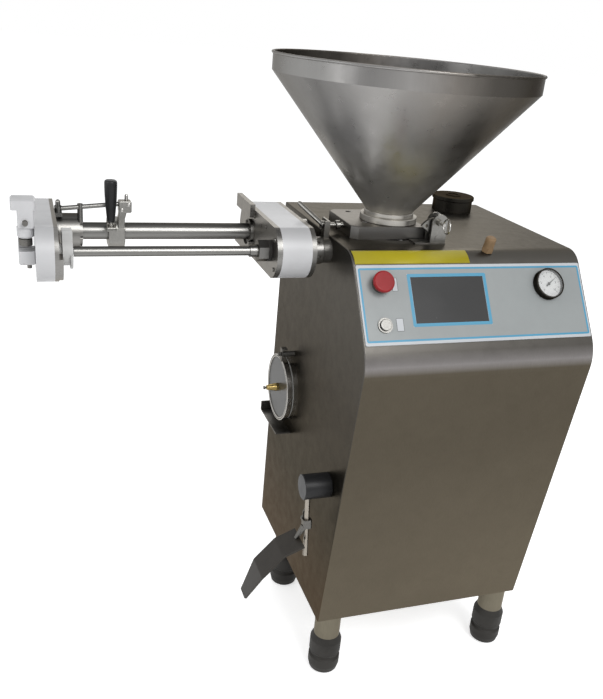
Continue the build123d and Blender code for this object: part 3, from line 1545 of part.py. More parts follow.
with BuildPart() as brake_knob:
    with BuildSketch(on_top(-brake_out, product_from_edge, arm_height + 25.5)):
        Circle(14)
    extrude(amount=18.5)
    chamfer(brake_knob.edges().group_by(Axis.Z)[0], 3)
    with BuildSketch(on_top(-brake_out, product_from_edge, arm_height + 25.5)):
        Circle(8 + running_gap)
    extrude(amount=18.5, mode=Mode.SUBTRACT)
brake_knob.part.label = "brake_knob"
export_step(brake_knob.part, "parts/brake_knob.step")

with BuildPart() as brake_pulley:
    with BuildSketch(along_arm(-low_plate_end - lid_gap)):
        Circle(nozzle_hub)
    extrude(amount=far_case_left - low_plate_end - 2 * lid_gap)
    with BuildSketch(along_arm(-far_pulley_mid + pulley_width / 2)):
        Circle(pulley_radius)
    extrude(amount=pulley_width)
    with BuildSketch(along_arm(-low_plate_end)):
        Circle(casing_way)
    extrude(amount=far_case_left - low_plate_end, mode=Mode.SUBTRACT)
brake_pulley.part.label = "brake_pulley"
export_step(brake_pulley.part, "parts/brake_pulley.step")
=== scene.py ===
import bpy
import math
from mathutils import Matrix, Vector


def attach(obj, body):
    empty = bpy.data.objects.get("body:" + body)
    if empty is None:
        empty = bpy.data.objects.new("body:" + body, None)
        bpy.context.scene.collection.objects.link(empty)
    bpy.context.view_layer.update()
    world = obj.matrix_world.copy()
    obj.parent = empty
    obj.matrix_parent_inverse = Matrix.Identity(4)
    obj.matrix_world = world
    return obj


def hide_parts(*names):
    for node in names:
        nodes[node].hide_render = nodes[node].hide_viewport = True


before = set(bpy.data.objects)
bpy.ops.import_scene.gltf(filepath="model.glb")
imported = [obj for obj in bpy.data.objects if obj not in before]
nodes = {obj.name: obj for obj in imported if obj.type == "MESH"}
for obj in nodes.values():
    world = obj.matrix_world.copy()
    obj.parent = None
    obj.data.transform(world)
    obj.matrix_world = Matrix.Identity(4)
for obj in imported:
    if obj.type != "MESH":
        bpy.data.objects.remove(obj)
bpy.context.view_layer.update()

# Place of the cabinet in the row, in metres
SIDE_X = 0.0455
EDGE_Y = -0.153557

# Flat top and rounded front edge of the cabinet, in mm, and the lean of its panel
TOP_Z = 945
EDGE_RADIUS = 45
LEAN = math.radians(35.3)
EDGE_Z = TOP_Z - EDGE_RADIUS * (1 - math.sin(LEAN))


def at(x, y, z):
    """Row place, in metres, of a point in mm from the cabinet's left side, panel edge and floor."""
    return Vector((SIDE_X + x / 1000, EDGE_Y + y / 1000, z / 1000))


PANEL_ORIGIN = at(0, 0, EDGE_Z)
PANEL_X = Vector((1, 0, 0))
PANEL_UP = Vector((0, math.sin(LEAN), math.cos(LEAN)))
PANEL_OUT = Vector((0, -math.cos(LEAN), math.sin(LEAN)))


def on_panel(x, down, out=0.0):
    """Place on the panel, in mm from the cabinet's left side, the panel's upper edge and its face."""
    return PANEL_ORIGIN + PANEL_X * x / 1000 - PANEL_UP * down / 1000 + PANEL_OUT * out / 1000


class Nodes:
    """A node material being built."""

    def __init__(self, name):
        self.mat = bpy.data.materials.new(name)
        self.mat.use_nodes = True
        self.tree = self.mat.node_tree
        self.tree.nodes.clear()
        self.out = self.add("ShaderNodeOutputMaterial")
        self.bsdf = self.add("ShaderNodeBsdfPrincipled")
        self.link(self.bsdf.outputs[0], self.out.inputs["Surface"])
        coords = self.add("ShaderNodeTexCoord")
        self.coord = coords.outputs["Object"]
        self.facing = self.parts(coords.outputs["Normal"])
        self.place = self.parts(self.coord)

    def add(self, kind, **values):
        node = self.tree.nodes.new(kind)
        for key, value in values.items():
            setattr(node, key, value)
        return node

    def link(self, a, b):
        self.tree.links.new(a, b)

    def set(self, **values):
        names = {
            "metallic": "Metallic", "rough": "Roughness", "coat": "Coat Weight",
            "coat_rough": "Coat Roughness", "ior": "IOR", "alpha": "Alpha",
            "specular": "Specular IOR Level",
        }
        for key, value in values.items():
            self.bsdf.inputs[names[key]].default_value = value

    def parts(self, vector):
        node = self.add("ShaderNodeSeparateXYZ")
        self.link(vector, node.inputs[0])
        return node.outputs

    def mapped(self, scale):
        node = self.add("ShaderNodeMapping")
        node.inputs["Scale"].default_value = scale
        self.link(self.coord, node.inputs["Vector"])
        return node.outputs[0]

    def noise(self, scale, size=(1, 1, 1), detail=4.0, rough=0.5):
        node = self.add("ShaderNodeTexNoise")
        node.inputs["Scale"].default_value = scale
        node.inputs["Detail"].default_value = detail
        node.inputs["Roughness"].default_value = rough
        self.link(self.mapped(size), node.inputs["Vector"])
        return node.outputs["Fac"]

    def ramp(self, value, stops):
        node = self.add("ShaderNodeValToRGB")
        ramp = node.color_ramp
        while len(ramp.elements) < len(stops):
            ramp.elements.new(0.5)
        for element, (place, color) in zip(ramp.elements, stops):
            element.position = place
            element.color = (*color, 1) if len(color) == 3 else color
        self.link(value, node.inputs["Fac"])
        return node.outputs["Color"]

    def span(self, value, low, high, to_low=0.0, to_high=1.0):
        node = self.add("ShaderNodeMapRange")
        for index, number in enumerate((low, high, to_low, to_high), 1):
            node.inputs[index].default_value = number
        self.link(value, node.inputs[0])
        return node.outputs[0]

    def mix(self, factor, a, b, blend="MIX"):
        node = self.add("ShaderNodeMix", data_type="RGBA", blend_type=blend)
        for value, socket in ((factor, node.inputs[0]), (a, node.inputs[6]), (b, node.inputs[7])):
            if hasattr(value, "is_linked"):
                self.link(value, socket)
            elif isinstance(value, (int, float)):
                socket.default_value = value
            else:
                socket.default_value = (*value, 1)
        return node.outputs[2]

    def color(self, value):
        if hasattr(value, "is_linked"):
            self.link(value, self.bsdf.inputs["Base Color"])
        else:
            self.bsdf.inputs["Base Color"].default_value = (*value, 1)

    def rough(self, value):
        self.link(value, self.bsdf.inputs["Roughness"])

    def bump(self, height, strength=0.1, distance=0.001):
        node = self.add("ShaderNodeBump")
        node.inputs["Strength"].default_value = strength
        node.inputs["Distance"].default_value = distance
        self.link(height, node.inputs["Height"])
        self.link(node.outputs[0], self.bsdf.inputs["Normal"])


def grained(m, tone, rough, grain, spread, cloud, bump, metallic=1.0, edge=0.6, wear=0.07):
    """Fine lines across the long grain scale, soft clouds and handling marks over a tone."""
    lines = m.noise(900, grain, 3.0, 0.6)
    clouds = m.noise(7, (1, 1, 1), 5.0, 0.6)
    marks = m.noise(38, (1, 1, 1), 6.0, 0.7)
    stroke = m.ramp(lines, [(0.3, (1 - spread,) * 3), (0.7, (1, 1, 1))])
    shade = m.ramp(clouds, [(0.3, (1 - cloud,) * 3), (0.7, (1, 1, 1))])
    m.color(m.mix(1.0, m.mix(1.0, tone, stroke, "MULTIPLY"), shade, "MULTIPLY"))
    m.rough(m.span(marks, 0.35, 0.7, rough - wear, rough + wear))
    m.bump(lines, bump, 0.0004)
    m.set(metallic=metallic)
    m.bsdf.inputs["Specular Tint"].default_value = (edge, edge * 0.96, edge * 0.90, 1)
    return m.mat


def brushed(name, tone, rough=0.38, grain=(1, 1, 1), spread=0.2, cloud=0.2, bump=0.03, edge=0.7):
    """Brushed steel of one tone."""
    return grained(Nodes(name), tone, rough, grain, spread, cloud, bump, edge=edge)


def sheet_steel(name, rough, grain, bump=0.04):
    """Cabinet steel with painted light and shade: painted shade on the left side, a painted highlight band
    where the sheet rolls up to the light, and the front painted darker higher up.
    """
    m = Nodes(name)
    # Painted highlight on the front faces: a bright band where they tilt a little upward, darker steel
    # elsewhere.
    painted_front_light = m.ramp(
        m.span(m.facing["Z"], -1, 1),
        [
            (0.40, (0.080, 0.068, 0.050)),
            (0.48, (0.088, 0.076, 0.057)),
            (0.58, (0.250, 0.236, 0.232)),
            (0.72, (0.100, 0.094, 0.086)),
            (0.95, (0.094, 0.089, 0.080)),
        ],
    )
    # Painted shade on the left side by height: darkest in the middle, warmer brown near the floor, lighter
    # towards the top.
    side = m.ramp(
        m.span(m.place["Z"], 0.15, 0.95),
        [
            (0.05, (0.066, 0.046, 0.030)),
            (0.30, (0.045, 0.040, 0.032)),
            (0.62, (0.054, 0.050, 0.045)),
            (0.97, (0.098, 0.095, 0.089)),
        ],
    )
    # Painted shade on the front: it grows darker from 0.2 m up to 0.62 m above the floor.
    glow = m.ramp(m.span(m.place["Z"], 0.20, 0.62), [(0.0, (1, 1, 1)), (0.95, (0.68, 0.68, 0.68))])
    front = m.mix(1.0, m.mix(1.0, painted_front_light, (1.4, 1.4, 1.4), "MULTIPLY"), glow, "MULTIPLY")
    # Faces turned to the left take the painted side shade, the others the painted front light.
    tone = m.mix(m.span(m.facing["X"], -0.25, -0.9), front, side)
    return grained(m, tone, rough, grain, 0.10, 0.08, bump, edge=0.56)


def cone_steel(name, rough, grain, bump=0.03):
    """Hopper steel with painted light and shade: painted lighter on its left and darker on its right,
    painted lighter towards its lower end, and a lighter rim band that is painted a little darker where it
    stands upright.
    """
    m = Nodes(name)
    # Painted light and shade by facing: faces turned to the left are lighter, faces turned to the right
    # darker.
    across = m.ramp(
        m.span(m.facing["X"], -1, 1),
        [
            (0.04, (0.380, 0.375, 0.365)),
            (0.16, (0.200, 0.196, 0.192)),
            (0.30, (0.350, 0.340, 0.330)),
            (0.44, (0.215, 0.198, 0.180)),
            (0.58, (0.098, 0.090, 0.080)),
            (0.78, (0.062, 0.057, 0.050)),
        ],
    )
    # Painted light: the lower part of the cone is painted lighter.
    low = m.mix(m.span(m.place["Z"], 1.14, 0.99), across, (0.56, 0.54, 0.50))
    # Painted shade: the upright rim band is painted a little darker.
    band = m.ramp(m.span(m.facing["Z"], -0.5, -0.1), [(0.1, (1, 1, 1)), (0.9, (0.78, 0.78, 0.78))])
    return grained(m, m.mix(1.0, low, band, "MULTIPLY"), rough, grain, 0.05, 0.06, bump, 0.85, 0.35)


def turned(name, tone, rough, grain, bump=0.01):
    """Polished round bar or tube that lies along X, with painted reflections set by how its wall faces:
    dark above and below, one painted bright line along it.
    """
    m = Nodes(name)
    # Painted reflection bands round the wall, set by how far each face turns up or down.
    painted_reflection = m.ramp(
        m.span(m.facing["Z"], -1, 1),
        [
            (0.08, tuple(c * 0.22 for c in tone)),
            (0.30, tuple(c * 0.62 for c in tone)),
            (0.50, tuple(c * 0.48 for c in tone)),
            (0.66, tone),
            (0.74, tuple(c * 0.85 for c in tone)),
            (0.84, tuple(c * 0.36 for c in tone)),
            (0.97, tuple(c * 0.16 for c in tone)),
        ],
    )
    return grained(m, painted_reflection, rough, grain, 0.06, 0.06, bump, edge=0.5, wear=0.01)


def plastic(name, tone, rough=0.4, coat=0.0, grain=1400, bump=0.04, dirt=0.08, gloss=0.5, top=1.0):
    """Moulded plastic, film or rubber: soft stains, fine grain, and painted shade that greys the upward
    faces where top is under 1.
    """
    m = Nodes(name)
    fine = m.noise(grain, (1, 1, 1), 2.0, 0.5)
    stains = m.noise(14, (1, 1, 1), 6.0, 0.65)
    dark = tuple(c * (1 - dirt) for c in tone)
    stained = m.ramp(stains, [(0.35, dark), (0.62, tone)])
    # Painted shade: faces turned upward are darkened by the factor top.
    painted_top_shade = m.ramp(m.span(m.facing["Z"], 0.4, 0.9), [(0.0, (1, 1, 1)), (1.0, (top, top, top))])
    m.color(m.mix(1.0, stained, painted_top_shade, "MULTIPLY"))
    m.rough(m.span(stains, 0.3, 0.7, rough + 0.08, rough - 0.04))
    m.bump(fine, bump, 0.0003)
    m.set(coat=coat, coat_rough=0.15, specular=gloss)
    return m.mat


def glass(name, tone, alpha, rough=0.08, specular=0.5):
    """Clear or smoked sheet, see-through by its alpha."""
    m = Nodes(name)
    m.color(m.ramp(m.noise(30), [(0.3, tuple(c * 0.92 for c in tone)), (0.7, tone)]))
    m.set(rough=rough, alpha=alpha, ior=1.45, specular=specular)
    return m.mat


M = {
    # Body and hopper steels carry painted light and shade in their tone ramps.
    "body": sheet_steel("body_steel", 0.36, (1, 1, 0.012)),
    "hopper": cone_steel("hopper_steel", 0.34, (1, 1, 0.02)),
    "plate": brushed("plate_steel", (0.24, 0.235, 0.225), 0.34, (0.03, 1, 1), 0.16, 0.18),
    "lidded": brushed("lid_steel", (0.150, 0.146, 0.140), 0.36, (0.03, 1, 1), 0.12, 0.14),
    "cast": brushed("cast_steel", (0.17, 0.165, 0.155), 0.42, (0.4, 0.4, 0.4), 0.24, 0.3, 0.08),
    "bright": brushed("bright_steel", (0.46, 0.45, 0.43), 0.24, (1, 0.02, 0.02), 0.10, 0.14, 0.02),
    "satin": brushed("satin_steel", (0.27, 0.265, 0.25), 0.34, (0.5, 0.5, 0.5), 0.16, 0.2, 0.03),
    "tan": brushed("worn_steel", (0.33, 0.30, 0.26), 0.32, (1, 1, 0.05), 0.14, 0.18, 0.03),
    "sleeve": brushed("sleeve_steel", (0.165, 0.148, 0.112), 0.36, (1, 1, 0.05), 0.12, 0.16, 0.03),
    # Tube and drum steels carry painted reflection bands.
    "tube": turned("tube_steel", (0.34, 0.335, 0.32), 0.36, (0.02, 1, 1)),
    "drum": turned("drum_steel", (0.40, 0.39, 0.37), 0.36, (0.02, 1, 1)),
    "dark": brushed("dark_steel", (0.040, 0.037, 0.032), 0.46, (0.5, 0.5, 0.5), 0.2, 0.3, 0.1, 0.4),
    "paint": plastic("cast_paint", (0.12, 0.16, 0.20), 0.45, 0.1, 500, 0.15),
    # White plastic's last value, 0.72, paints shade on its upward faces.
    "white": plastic("white_plastic", (0.57, 0.57, 0.58), 0.35, 0.0, 900, 0.03, 0.06, 0.4, 0.72),
    "ivory": plastic("ivory_plastic", (0.55, 0.55, 0.54), 0.45, 0.0, 900, 0.04, 0.10),
    "black": plastic("black_plastic", (0.014, 0.014, 0.015), 0.38, 0.0, 900, 0.10, 0.2, 0.25),
    "paddle": plastic("black_enamel", (0.026, 0.022, 0.017), 0.36, 0.0, 500, 0.10, 0.25, 0.25),
    "rubber": plastic("black_rubber", (0.026, 0.024, 0.021), 0.62, 0.0, 700, 0.2, 0.35, 0.3),
    "red": plastic("red_plastic", (0.27, 0.006, 0.009), 0.30, 0.0, 900, 0.02, 0.30, 0.25),
    "field": plastic("grey_film", (0.262, 0.280, 0.280), 0.38, 0.0, 1600, 0.03, 0.06),
    "blue": plastic("blue_film", (0.050, 0.26, 0.42), 0.38, 0.1, 1600, 0.03, 0.06),
    "frame": plastic("blue_frame", (0.060, 0.27, 0.42), 0.38, 0.1, 1600, 0.03, 0.04),
    "screen": plastic("screen_glass", (0.034, 0.034, 0.034), 0.20, 0.0, 300, 0.004, 0.10, 0.35),
    "label": plastic("pale_film", (0.46, 0.48, 0.50), 0.4, 0.1, 1600, 0.03, 0.04),
    "yellow": plastic("yellow_film", (0.38, 0.32, 0.012), 0.38, 0.0, 1600, 0.03, 0.08, 0.3),
    "dial": plastic("dial_white", (0.62, 0.62, 0.61), 0.5, 0.0, 1600, 0.01, 0.03),
    "ink": plastic("black_ink", (0.012, 0.012, 0.012), 0.5, 0.0, 1600, 0.01, 0.03),
    "brass": brushed("valve_brass", (0.42, 0.31, 0.12), 0.30, (0.4, 0.4, 0.4), 0.15, 0.25),
    "sinter": plastic("sintered_bronze", (0.20, 0.125, 0.060), 0.7, 0.0, 1300, 0.9, 0.45),
    "lid": glass("lid_acrylic", (0.040, 0.039, 0.034), 0.93, 0.30, 0.25),
    "glass": glass("gauge_glass", (0.9, 0.93, 0.93), 0.10, 0.03),
    "gasket": plastic("gasket_rubber", (0.45, 0.45, 0.43), 0.6, 0.0, 900, 0.1, 0.15),
}

USED = {
    "body": "cabinet_shell rear_cover inner_frame",
    "sleeve": "foot_sleeves",
    "hopper": "hopper",
    "lidded": "pump_lid",
    "plate": "near_plates far_plates ring_nut",
    "cast": "lever_collar rod_clamp pot_fittings lid_latch pump_housing brake_stem wing_screw outlet_pipe",
    "satin": "lid_brackets hinge_pin clamp_screw button_collars button_cap",
    "bright": "lock_plunger valve_button vacuum_pot pump_rotor",
    "tan": "knee_rod",
    "tube": "main_tube nozzle push_rod linker_shaft",
    "drum": "head_drum",
    "dark": "gauge_needle gauge_case vent_cap vent_neck",
    "paint": "drive_motors vacuum_pump",
    "white": "near_belt_case far_belt_case brake_body brake_knob",
    "ivory": "casing_guide brake_pulley pump_vanes",
    "black": "handle_grip knee_hub",
    "paddle": "knee_paddle",
    "rubber": "rubber_feet near_belt far_belt seal_ring",
    "red": "estop_head",
    "label": "control_overlay",
    "screen": "touch_screen",
    "lid": "pot_lid",
    "glass": "gauge_glass",
    "gasket": "pot_gasket",
    "brass": "release_valve",
    "sinter": "silencer",
}
for key, names in USED.items():
    for node_name in names.split():
        obj = nodes[node_name]
        obj.data.materials.clear()
        obj.data.materials.append(M[key])
        for polygon in obj.data.polygons:
            polygon.material_index = 0


def piece(name, verts, faces, material, body, smooth=False):
    """Mesh object of the scene that rides on a body."""
    mesh = bpy.data.meshes.new(name)
    mesh.from_pydata([tuple(v) for v in verts], [], faces)
    mesh.validate()
    mesh.update()
    obj = bpy.data.objects.new(name, mesh)
    bpy.context.scene.collection.objects.link(obj)
    mesh.materials.append(M[material])
    for polygon in mesh.polygons:
        polygon.use_smooth = smooth
    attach(obj, body)
    return obj


def bevel(obj, width):
    """Softened edges, with the width in mm."""
    mod = obj.modifiers.new("bevel", "BEVEL")
    mod.width = width / 1000
    mod.segments = 2
    mod.limit_method = "ANGLE"


def rounded(width, height, radius, steps=6):
    """Corner points of a rounded rectangle about the middle, counter-clockwise."""
    pts = []
    for cx, cy, start in ((1, 1, 0), (-1, 1, 90), (-1, -1, 180), (1, -1, 270)):
        for i in range(steps + 1):
            a = math.radians(start + 90 * i / steps)
            pts.append(
                (
                    cx * (width / 2 - radius) + radius * math.cos(a),
                    cy * (height / 2 - radius) + radius * math.sin(a),
                )
            )
    return pts


def circle(radius, count=48):
    """Points of a circle about the middle, counter-clockwise."""
    turns = [2 * math.pi * i / count for i in range(count)]
    return [(radius * math.cos(a), radius * math.sin(a)) for a in turns]


def placed(points, origin, u, v, lift):
    """Outline in mm laid along u and v, and lifted along u x v."""
    n = u.cross(v)
    return [origin + u * x / 1000 + v * y / 1000 + n * lift / 1000 for x, y in points]


def slab(name, points, origin, u, v, low, high, material, body, soft=0.0):
    """Plate of an outline in mm, between two heights along u x v."""
    k = len(points)
    verts = placed(points, origin, u, v, low) + placed(points, origin, u, v, high)
    faces = [tuple(range(k - 1, -1, -1)), tuple(range(k, 2 * k))]
    faces += [(i, (i + 1) % k, k + (i + 1) % k, k + i) for i in range(k)]
    obj = piece(name, verts, faces, material, body)
    if soft:
        bevel(obj, soft)


def ring(name, outer, inner, origin, u, v, low, high, material, body, soft=0.0):
    """Flat ring between two outlines with the same number of points."""
    k = len(outer)
    verts = []
    for points, lift in ((outer, low), (inner, low), (outer, high), (inner, high)):
        verts += placed(points, origin, u, v, lift)
    faces = []
    for i in range(k):
        j = (i + 1) % k
        faces += [
            (i, j, 2 * k + j, 2 * k + i),
            (2 * k + i, 2 * k + j, 3 * k + j, 3 * k + i),
            (3 * k + i, 3 * k + j, k + j, k + i),
            (k + i, k + j, j, i),
        ]
    obj = piece(name, verts, faces, material, body)
    if soft:
        bevel(obj, soft)
    return obj


X = Vector((1, 0, 0))
Y = Vector((0, 1, 0))
Z = Vector((0, 0, 1))

# Face of the CAD overlay above the panel, and the thickness of the printed film on it, in mm
OVER = 1.5
FILM = 0.2


def panel_frame(name, x0, x1, v0, v1, edge, radius, low, high, material):
    """Printed line round a rounded rectangle of the panel."""
    middle = on_panel((x0 + x1) / 2, (v0 + v1) / 2, 0)
    w, h = x1 - x0, v1 - v0
    ring(
        name, rounded(w, h, radius), rounded(w - 2 * edge, h - 2 * edge, max(radius - edge, 0.5)),
        middle, PANEL_X, PANEL_UP, low, high, material, "machine",
    )


def panel_patch(name, x0, x1, v0, v1, radius, low, high, material):
    """Printed rounded rectangle on the panel."""
    middle = on_panel((x0 + x1) / 2, (v0 + v1) / 2, 0)
    slab(
        name, rounded(x1 - x0, v1 - v0, radius), middle, PANEL_X, PANEL_UP, low, high, material,
        "machine",
    )


def revolved(name, profile, origin, axis, material, body, steps=40):
    """Closed turned piece: profile of (radius, height) in mm along an axis, both ends on the axis."""
    u = axis.orthogonal().normalized()
    v = axis.cross(u)
    verts, faces = [], []
    k = len(profile) - 2
    for radius, height in profile[1:-1]:
        verts += [origin + (u * x + v * y + axis * height) / 1000 for x, y in circle(radius, steps)]
    verts += [origin + axis * profile[0][1] / 1000, origin + axis * profile[-1][1] / 1000]
    for i in range(k - 1):
        for j in range(steps):
            n = (j + 1) % steps
            faces.append((i * steps + j, i * steps + n, (i + 1) * steps + n, (i + 1) * steps + j))
    last = (k - 1) * steps
    for j in range(steps):
        n = (j + 1) % steps
        faces.append((k * steps, n, j))
        faces.append((last + j, last + n, k * steps + 1))
    obj = piece(name, verts, faces, material, body, True)
    edges = obj.modifiers.new("edges", "EDGE_SPLIT")
    edges.split_angle = math.radians(50)
    return obj


# Panel film: a pale margin, a blue line round the grey field and the blue frame of the screen
panel_frame("blue_line", 7, 473, 7, 144, 3.6, 4, OVER, OVER + 0.25, "blue")
panel_frame("screen_frame", 101, 263.5, 19, 118, 6.0, 3, OVER, OVER + 0.35, "frame")
FIELD_LEFT = 10.6
FIELD_TOP = 10.6
FIELD_LOW = 140.4
SCREEN_LEFT = 101
SCREEN_RIGHT = 263.5
STOP_LOW = 72
for name, x0, x1, v0, v1 in (
    ("field_left", FIELD_LEFT, SCREEN_LEFT, STOP_LOW, FIELD_LOW),
    ("field_top", SCREEN_LEFT, SCREEN_RIGHT, FIELD_TOP, 19),
    ("field_low", SCREEN_LEFT, SCREEN_RIGHT, 118, FIELD_LOW),
    ("field_right", SCREEN_RIGHT, 469.4, FIELD_TOP, FIELD_LOW),
):
    panel_patch(name, x0, x1, v0, v1, 0.5, OVER, OVER + FILM, "field")

# Upper left patch of the field, with a hole under the stop's collar where its stem goes through
STOP_X = 46.3
STOP_DOWN = 37.8
STOP_HOLE = 12
shift_x = (FIELD_LEFT + SCREEN_LEFT) / 2 - STOP_X
shift_up = STOP_DOWN - (FIELD_TOP + STOP_LOW) / 2
corners = rounded(SCREEN_LEFT - FIELD_LEFT, STOP_LOW - FIELD_TOP, 0.5)
ring(
    "field_stop", [(x + shift_x, y + shift_up) for x, y in corners], circle(STOP_HOLE, len(corners)),
    on_panel(STOP_X, STOP_DOWN), PANEL_X, PANEL_UP, OVER, OVER + FILM, "field", "machine",
)
for name, x0, x1, v0, v1 in (("stop_label", 69, 80, 26, 51), ("button_label", 68, 82, 101, 125)):
    panel_patch(name, x0, x1, v0, v1, 1.0, OVER + FILM, OVER + 2 * FILM, "label")
    panel_frame(name + "_edge", x0, x1, v0, v1, 0.6, 1.0, OVER + 2 * FILM, OVER + 0.5, "ink")


GAUGE_X = 395
GAUGE_DOWN = 45
SCALE_START = 225
SCALE_SWEEP = 270
SCALE_STEPS = 50
FIGURES = 6


def gauge():
    """Face of the vacuum gauge with its lines and plain figures."""
    middle = on_panel(GAUGE_X, GAUGE_DOWN, OVER + 6.0)
    slab("gauge_face", circle(26.8, 64), middle, PANEL_X, PANEL_UP, 0.05, 0.3, "dial", "machine")
    verts, faces = [], []

    def bar(r0, r1, wide, angle):
        a = math.radians(angle)
        d = Vector((math.cos(a), math.sin(a)))
        s = Vector((-d.y, d.x)) * wide / 2
        base = len(verts)
        pts = [d * r0 - s, d * r1 - s, d * r1 + s, d * r0 + s]
        verts.extend(placed([tuple(p) for p in pts], middle, PANEL_X, PANEL_UP, 0.42))
        faces.append(tuple(base + i for i in range(4)))

    for i in range(SCALE_STEPS + 1):
        angle = SCALE_START - SCALE_SWEEP * i / SCALE_STEPS
        start, wide = (20.5, 0.8) if i % 5 == 0 else (22.3, 0.35)
        bar(start, 24.5, wide, angle)
    piece("gauge_scale", verts, faces, "ink", "machine")
    turn = Matrix((PANEL_X, PANEL_UP, PANEL_OUT)).transposed().to_4x4()
    for i in range(FIGURES):
        angle = math.radians(SCALE_START - SCALE_SWEEP * i / (FIGURES - 1))
        figure = bpy.data.curves.new("figure", "FONT")
        figure.body = str(2 * i)
        figure.size = 0.0062
        figure.align_x, figure.align_y = "CENTER", "CENTER"
        figure.materials.append(M["ink"])
        number = bpy.data.objects.new("gauge_figure_%d" % (2 * i), figure)
        bpy.context.scene.collection.objects.link(number)
        spot = middle + PANEL_X * 0.0165 * math.cos(angle) + PANEL_UP * 0.0165 * math.sin(angle)
        number.matrix_world = Matrix.Translation(spot + PANEL_OUT * 0.00045) @ turn
        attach(number, "machine")


gauge()


def shoulder(x, angle, lift):
    """Point on the rounded edge: angle 0 is at the panel, rising towards the flat top."""
    a = LEAN + angle
    r = EDGE_RADIUS + lift
    centre_y = EDGE_RADIUS * math.cos(LEAN)
    centre_z = TOP_Z - EDGE_RADIUS
    return at(x, centre_y - r * math.cos(a), centre_z + r * math.sin(a))


def strip(x0, x1, a0, a1):
    """Bare yellow strip across the rounded edge above the panel."""
    verts, faces = [], []
    steps = 10
    for lift in (0.05, 0.35):
        for i in range(steps + 1):
            a = a0 + (a1 - a0) * i / steps
            verts += [shoulder(x0, a, lift), shoulder(x1, a, lift)]
    k = 2 * (steps + 1)
    for i in range(steps):
        b = 2 * i
        faces.append((b, b + 2, b + 3, b + 1))
        faces.append((k + b, k + b + 1, k + b + 3, k + b + 2))
        faces.append((b, k + b, k + b + 2, b + 2))
        faces.append((b + 1, b + 3, k + b + 3, k + b + 1))
    faces.append((0, 1, k + 1, k))
    faces.append((k - 2, 2 * k - 2, 2 * k - 1, k - 1))
    piece("yellow_strip", verts, faces, "yellow", "machine", True)


strip(4, 236, 0.02, 0.74)

# Steel band round the lid of the vacuum pot
POT = at(-13.5, 290, 551)
BAND_OUTER = 75.4
BAND_INNER = 68.6
BAND_WIDE = 11.8
ring(
    "lid_band", circle(BAND_OUTER, 72), circle(BAND_INNER, 72), POT, Z, Y, 0, BAND_WIDE, "bright",
    "pot_lid", 0.8,
)

# Lever collar on the main tube with its arm, the block of the push rod and the grip's stud
ARM_Z = 916.5
MAIN_Y = 266
PRODUCT_Y = 126
COLLAR_RIGHT = -369
COLLAR_WIDE = 31
COLLAR_BORE = 16.4
ROD_Y = PRODUCT_Y + 120
GRIP_X = -397
GRIP_Y = PRODUCT_Y + 104


def collar_edge(angle):
    """Outline of the clamp in mm: round above, with a faceted block below."""
    c, s = abs(math.cos(angle)), math.sin(angle)
    if s > 0.29:
        return 27.5
    sides = [24.75 / max(c, 0.01), 42 / (c + abs(s))]
    if s < 0:
        sides.append(28 / -s)
    return min(sides)


turns = [2 * math.pi * i / 72 for i in range(72)]
collar_out = [(collar_edge(a) * math.cos(a), collar_edge(a) * math.sin(a)) for a in turns]
collar = ring(
    "lever_clamp", collar_out, circle(COLLAR_BORE, 72), at(COLLAR_RIGHT, MAIN_Y, ARM_Z), -Y, Z,
    0, COLLAR_WIDE, "satin", "linker_head", 1.2,
)
arm_points = [
    (-383, 12), (-371, 12), (-370, 30), (-367, 42), (-367, 50), (-380, 50), (-381, 42), (-383, 30),
]
slab(
    "lever_arm", arm_points, at(0, ROD_Y + 8, ARM_Z), X, Z, 0, 16, "satin", "linker_head", 1.2,
)
slab(
    "rod_block", rounded(24, 22, 3), at(-370, ROD_Y + 10, ARM_Z + 52.5), X, Z, 0, 20, "satin",
    "linker_head", 1.5,
)
for index, (x, z) in enumerate(((-363.5, 57.5), (-376, 47.5))):
    revolved(
        "rod_bolt_%d" % index, [(0, 0), (3.2, 0), (3.2, 1.8), (2.4, 2.4), (0, 2.4)],
        at(x, ROD_Y - 10, ARM_Z + z), -Y, "bright", "linker_head", 24,
    )
revolved(
    "rod_screw", [(0, 0), (3.5, 0), (3.5, 8), (3.0, 10.5), (1.6, 12), (0, 12.4)],
    at(-367, ROD_Y, ARM_Z + 63.5), Z, "bright", "linker_head", 32,
)
slab(
    "grip_foot", [(-9, -12), (9, -12), (12, 24), (-5, 24)], at(GRIP_X, GRIP_Y, ARM_Z + 10.2), X, Y,
    0, 8, "satin", "linker_head", 1.5,
)
revolved(
    "grip_stud", [(0, 0), (6.4, 0), (6.4, 4.4), (4, 4.8), (4, 70), (0, 70)],
    at(GRIP_X, GRIP_Y, ARM_Z + 18.2), Z, "bright", "linker_head", 32,
)
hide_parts("lever_collar")


def grip_profile(low, high, foot, head, steps=14):
    """Profile of the grip: it swells towards the top and ends in a rounded crown."""
    points = [(0, low), (foot - 0.8, low)]
    for i in range(steps + 1):
        t = i / steps
        points.append((foot + (head - foot) * math.sin(t * math.pi / 2), low + 0.8 + (high - low - 6) * t))
    crown = high - 5.2
    for i in range(1, 6):
        a = math.radians(18 * i)
        points.append((head - 4 + 4 * math.cos(a), crown + 5.2 * math.sin(a)))
    return points + [(0, high)]


grip = revolved(
    "grip_handle", grip_profile(26.5, 104.5, 7.0, 11.8), at(GRIP_X, GRIP_Y, ARM_Z), Z, "black", "grip", 48,
)
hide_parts("handle_grip")

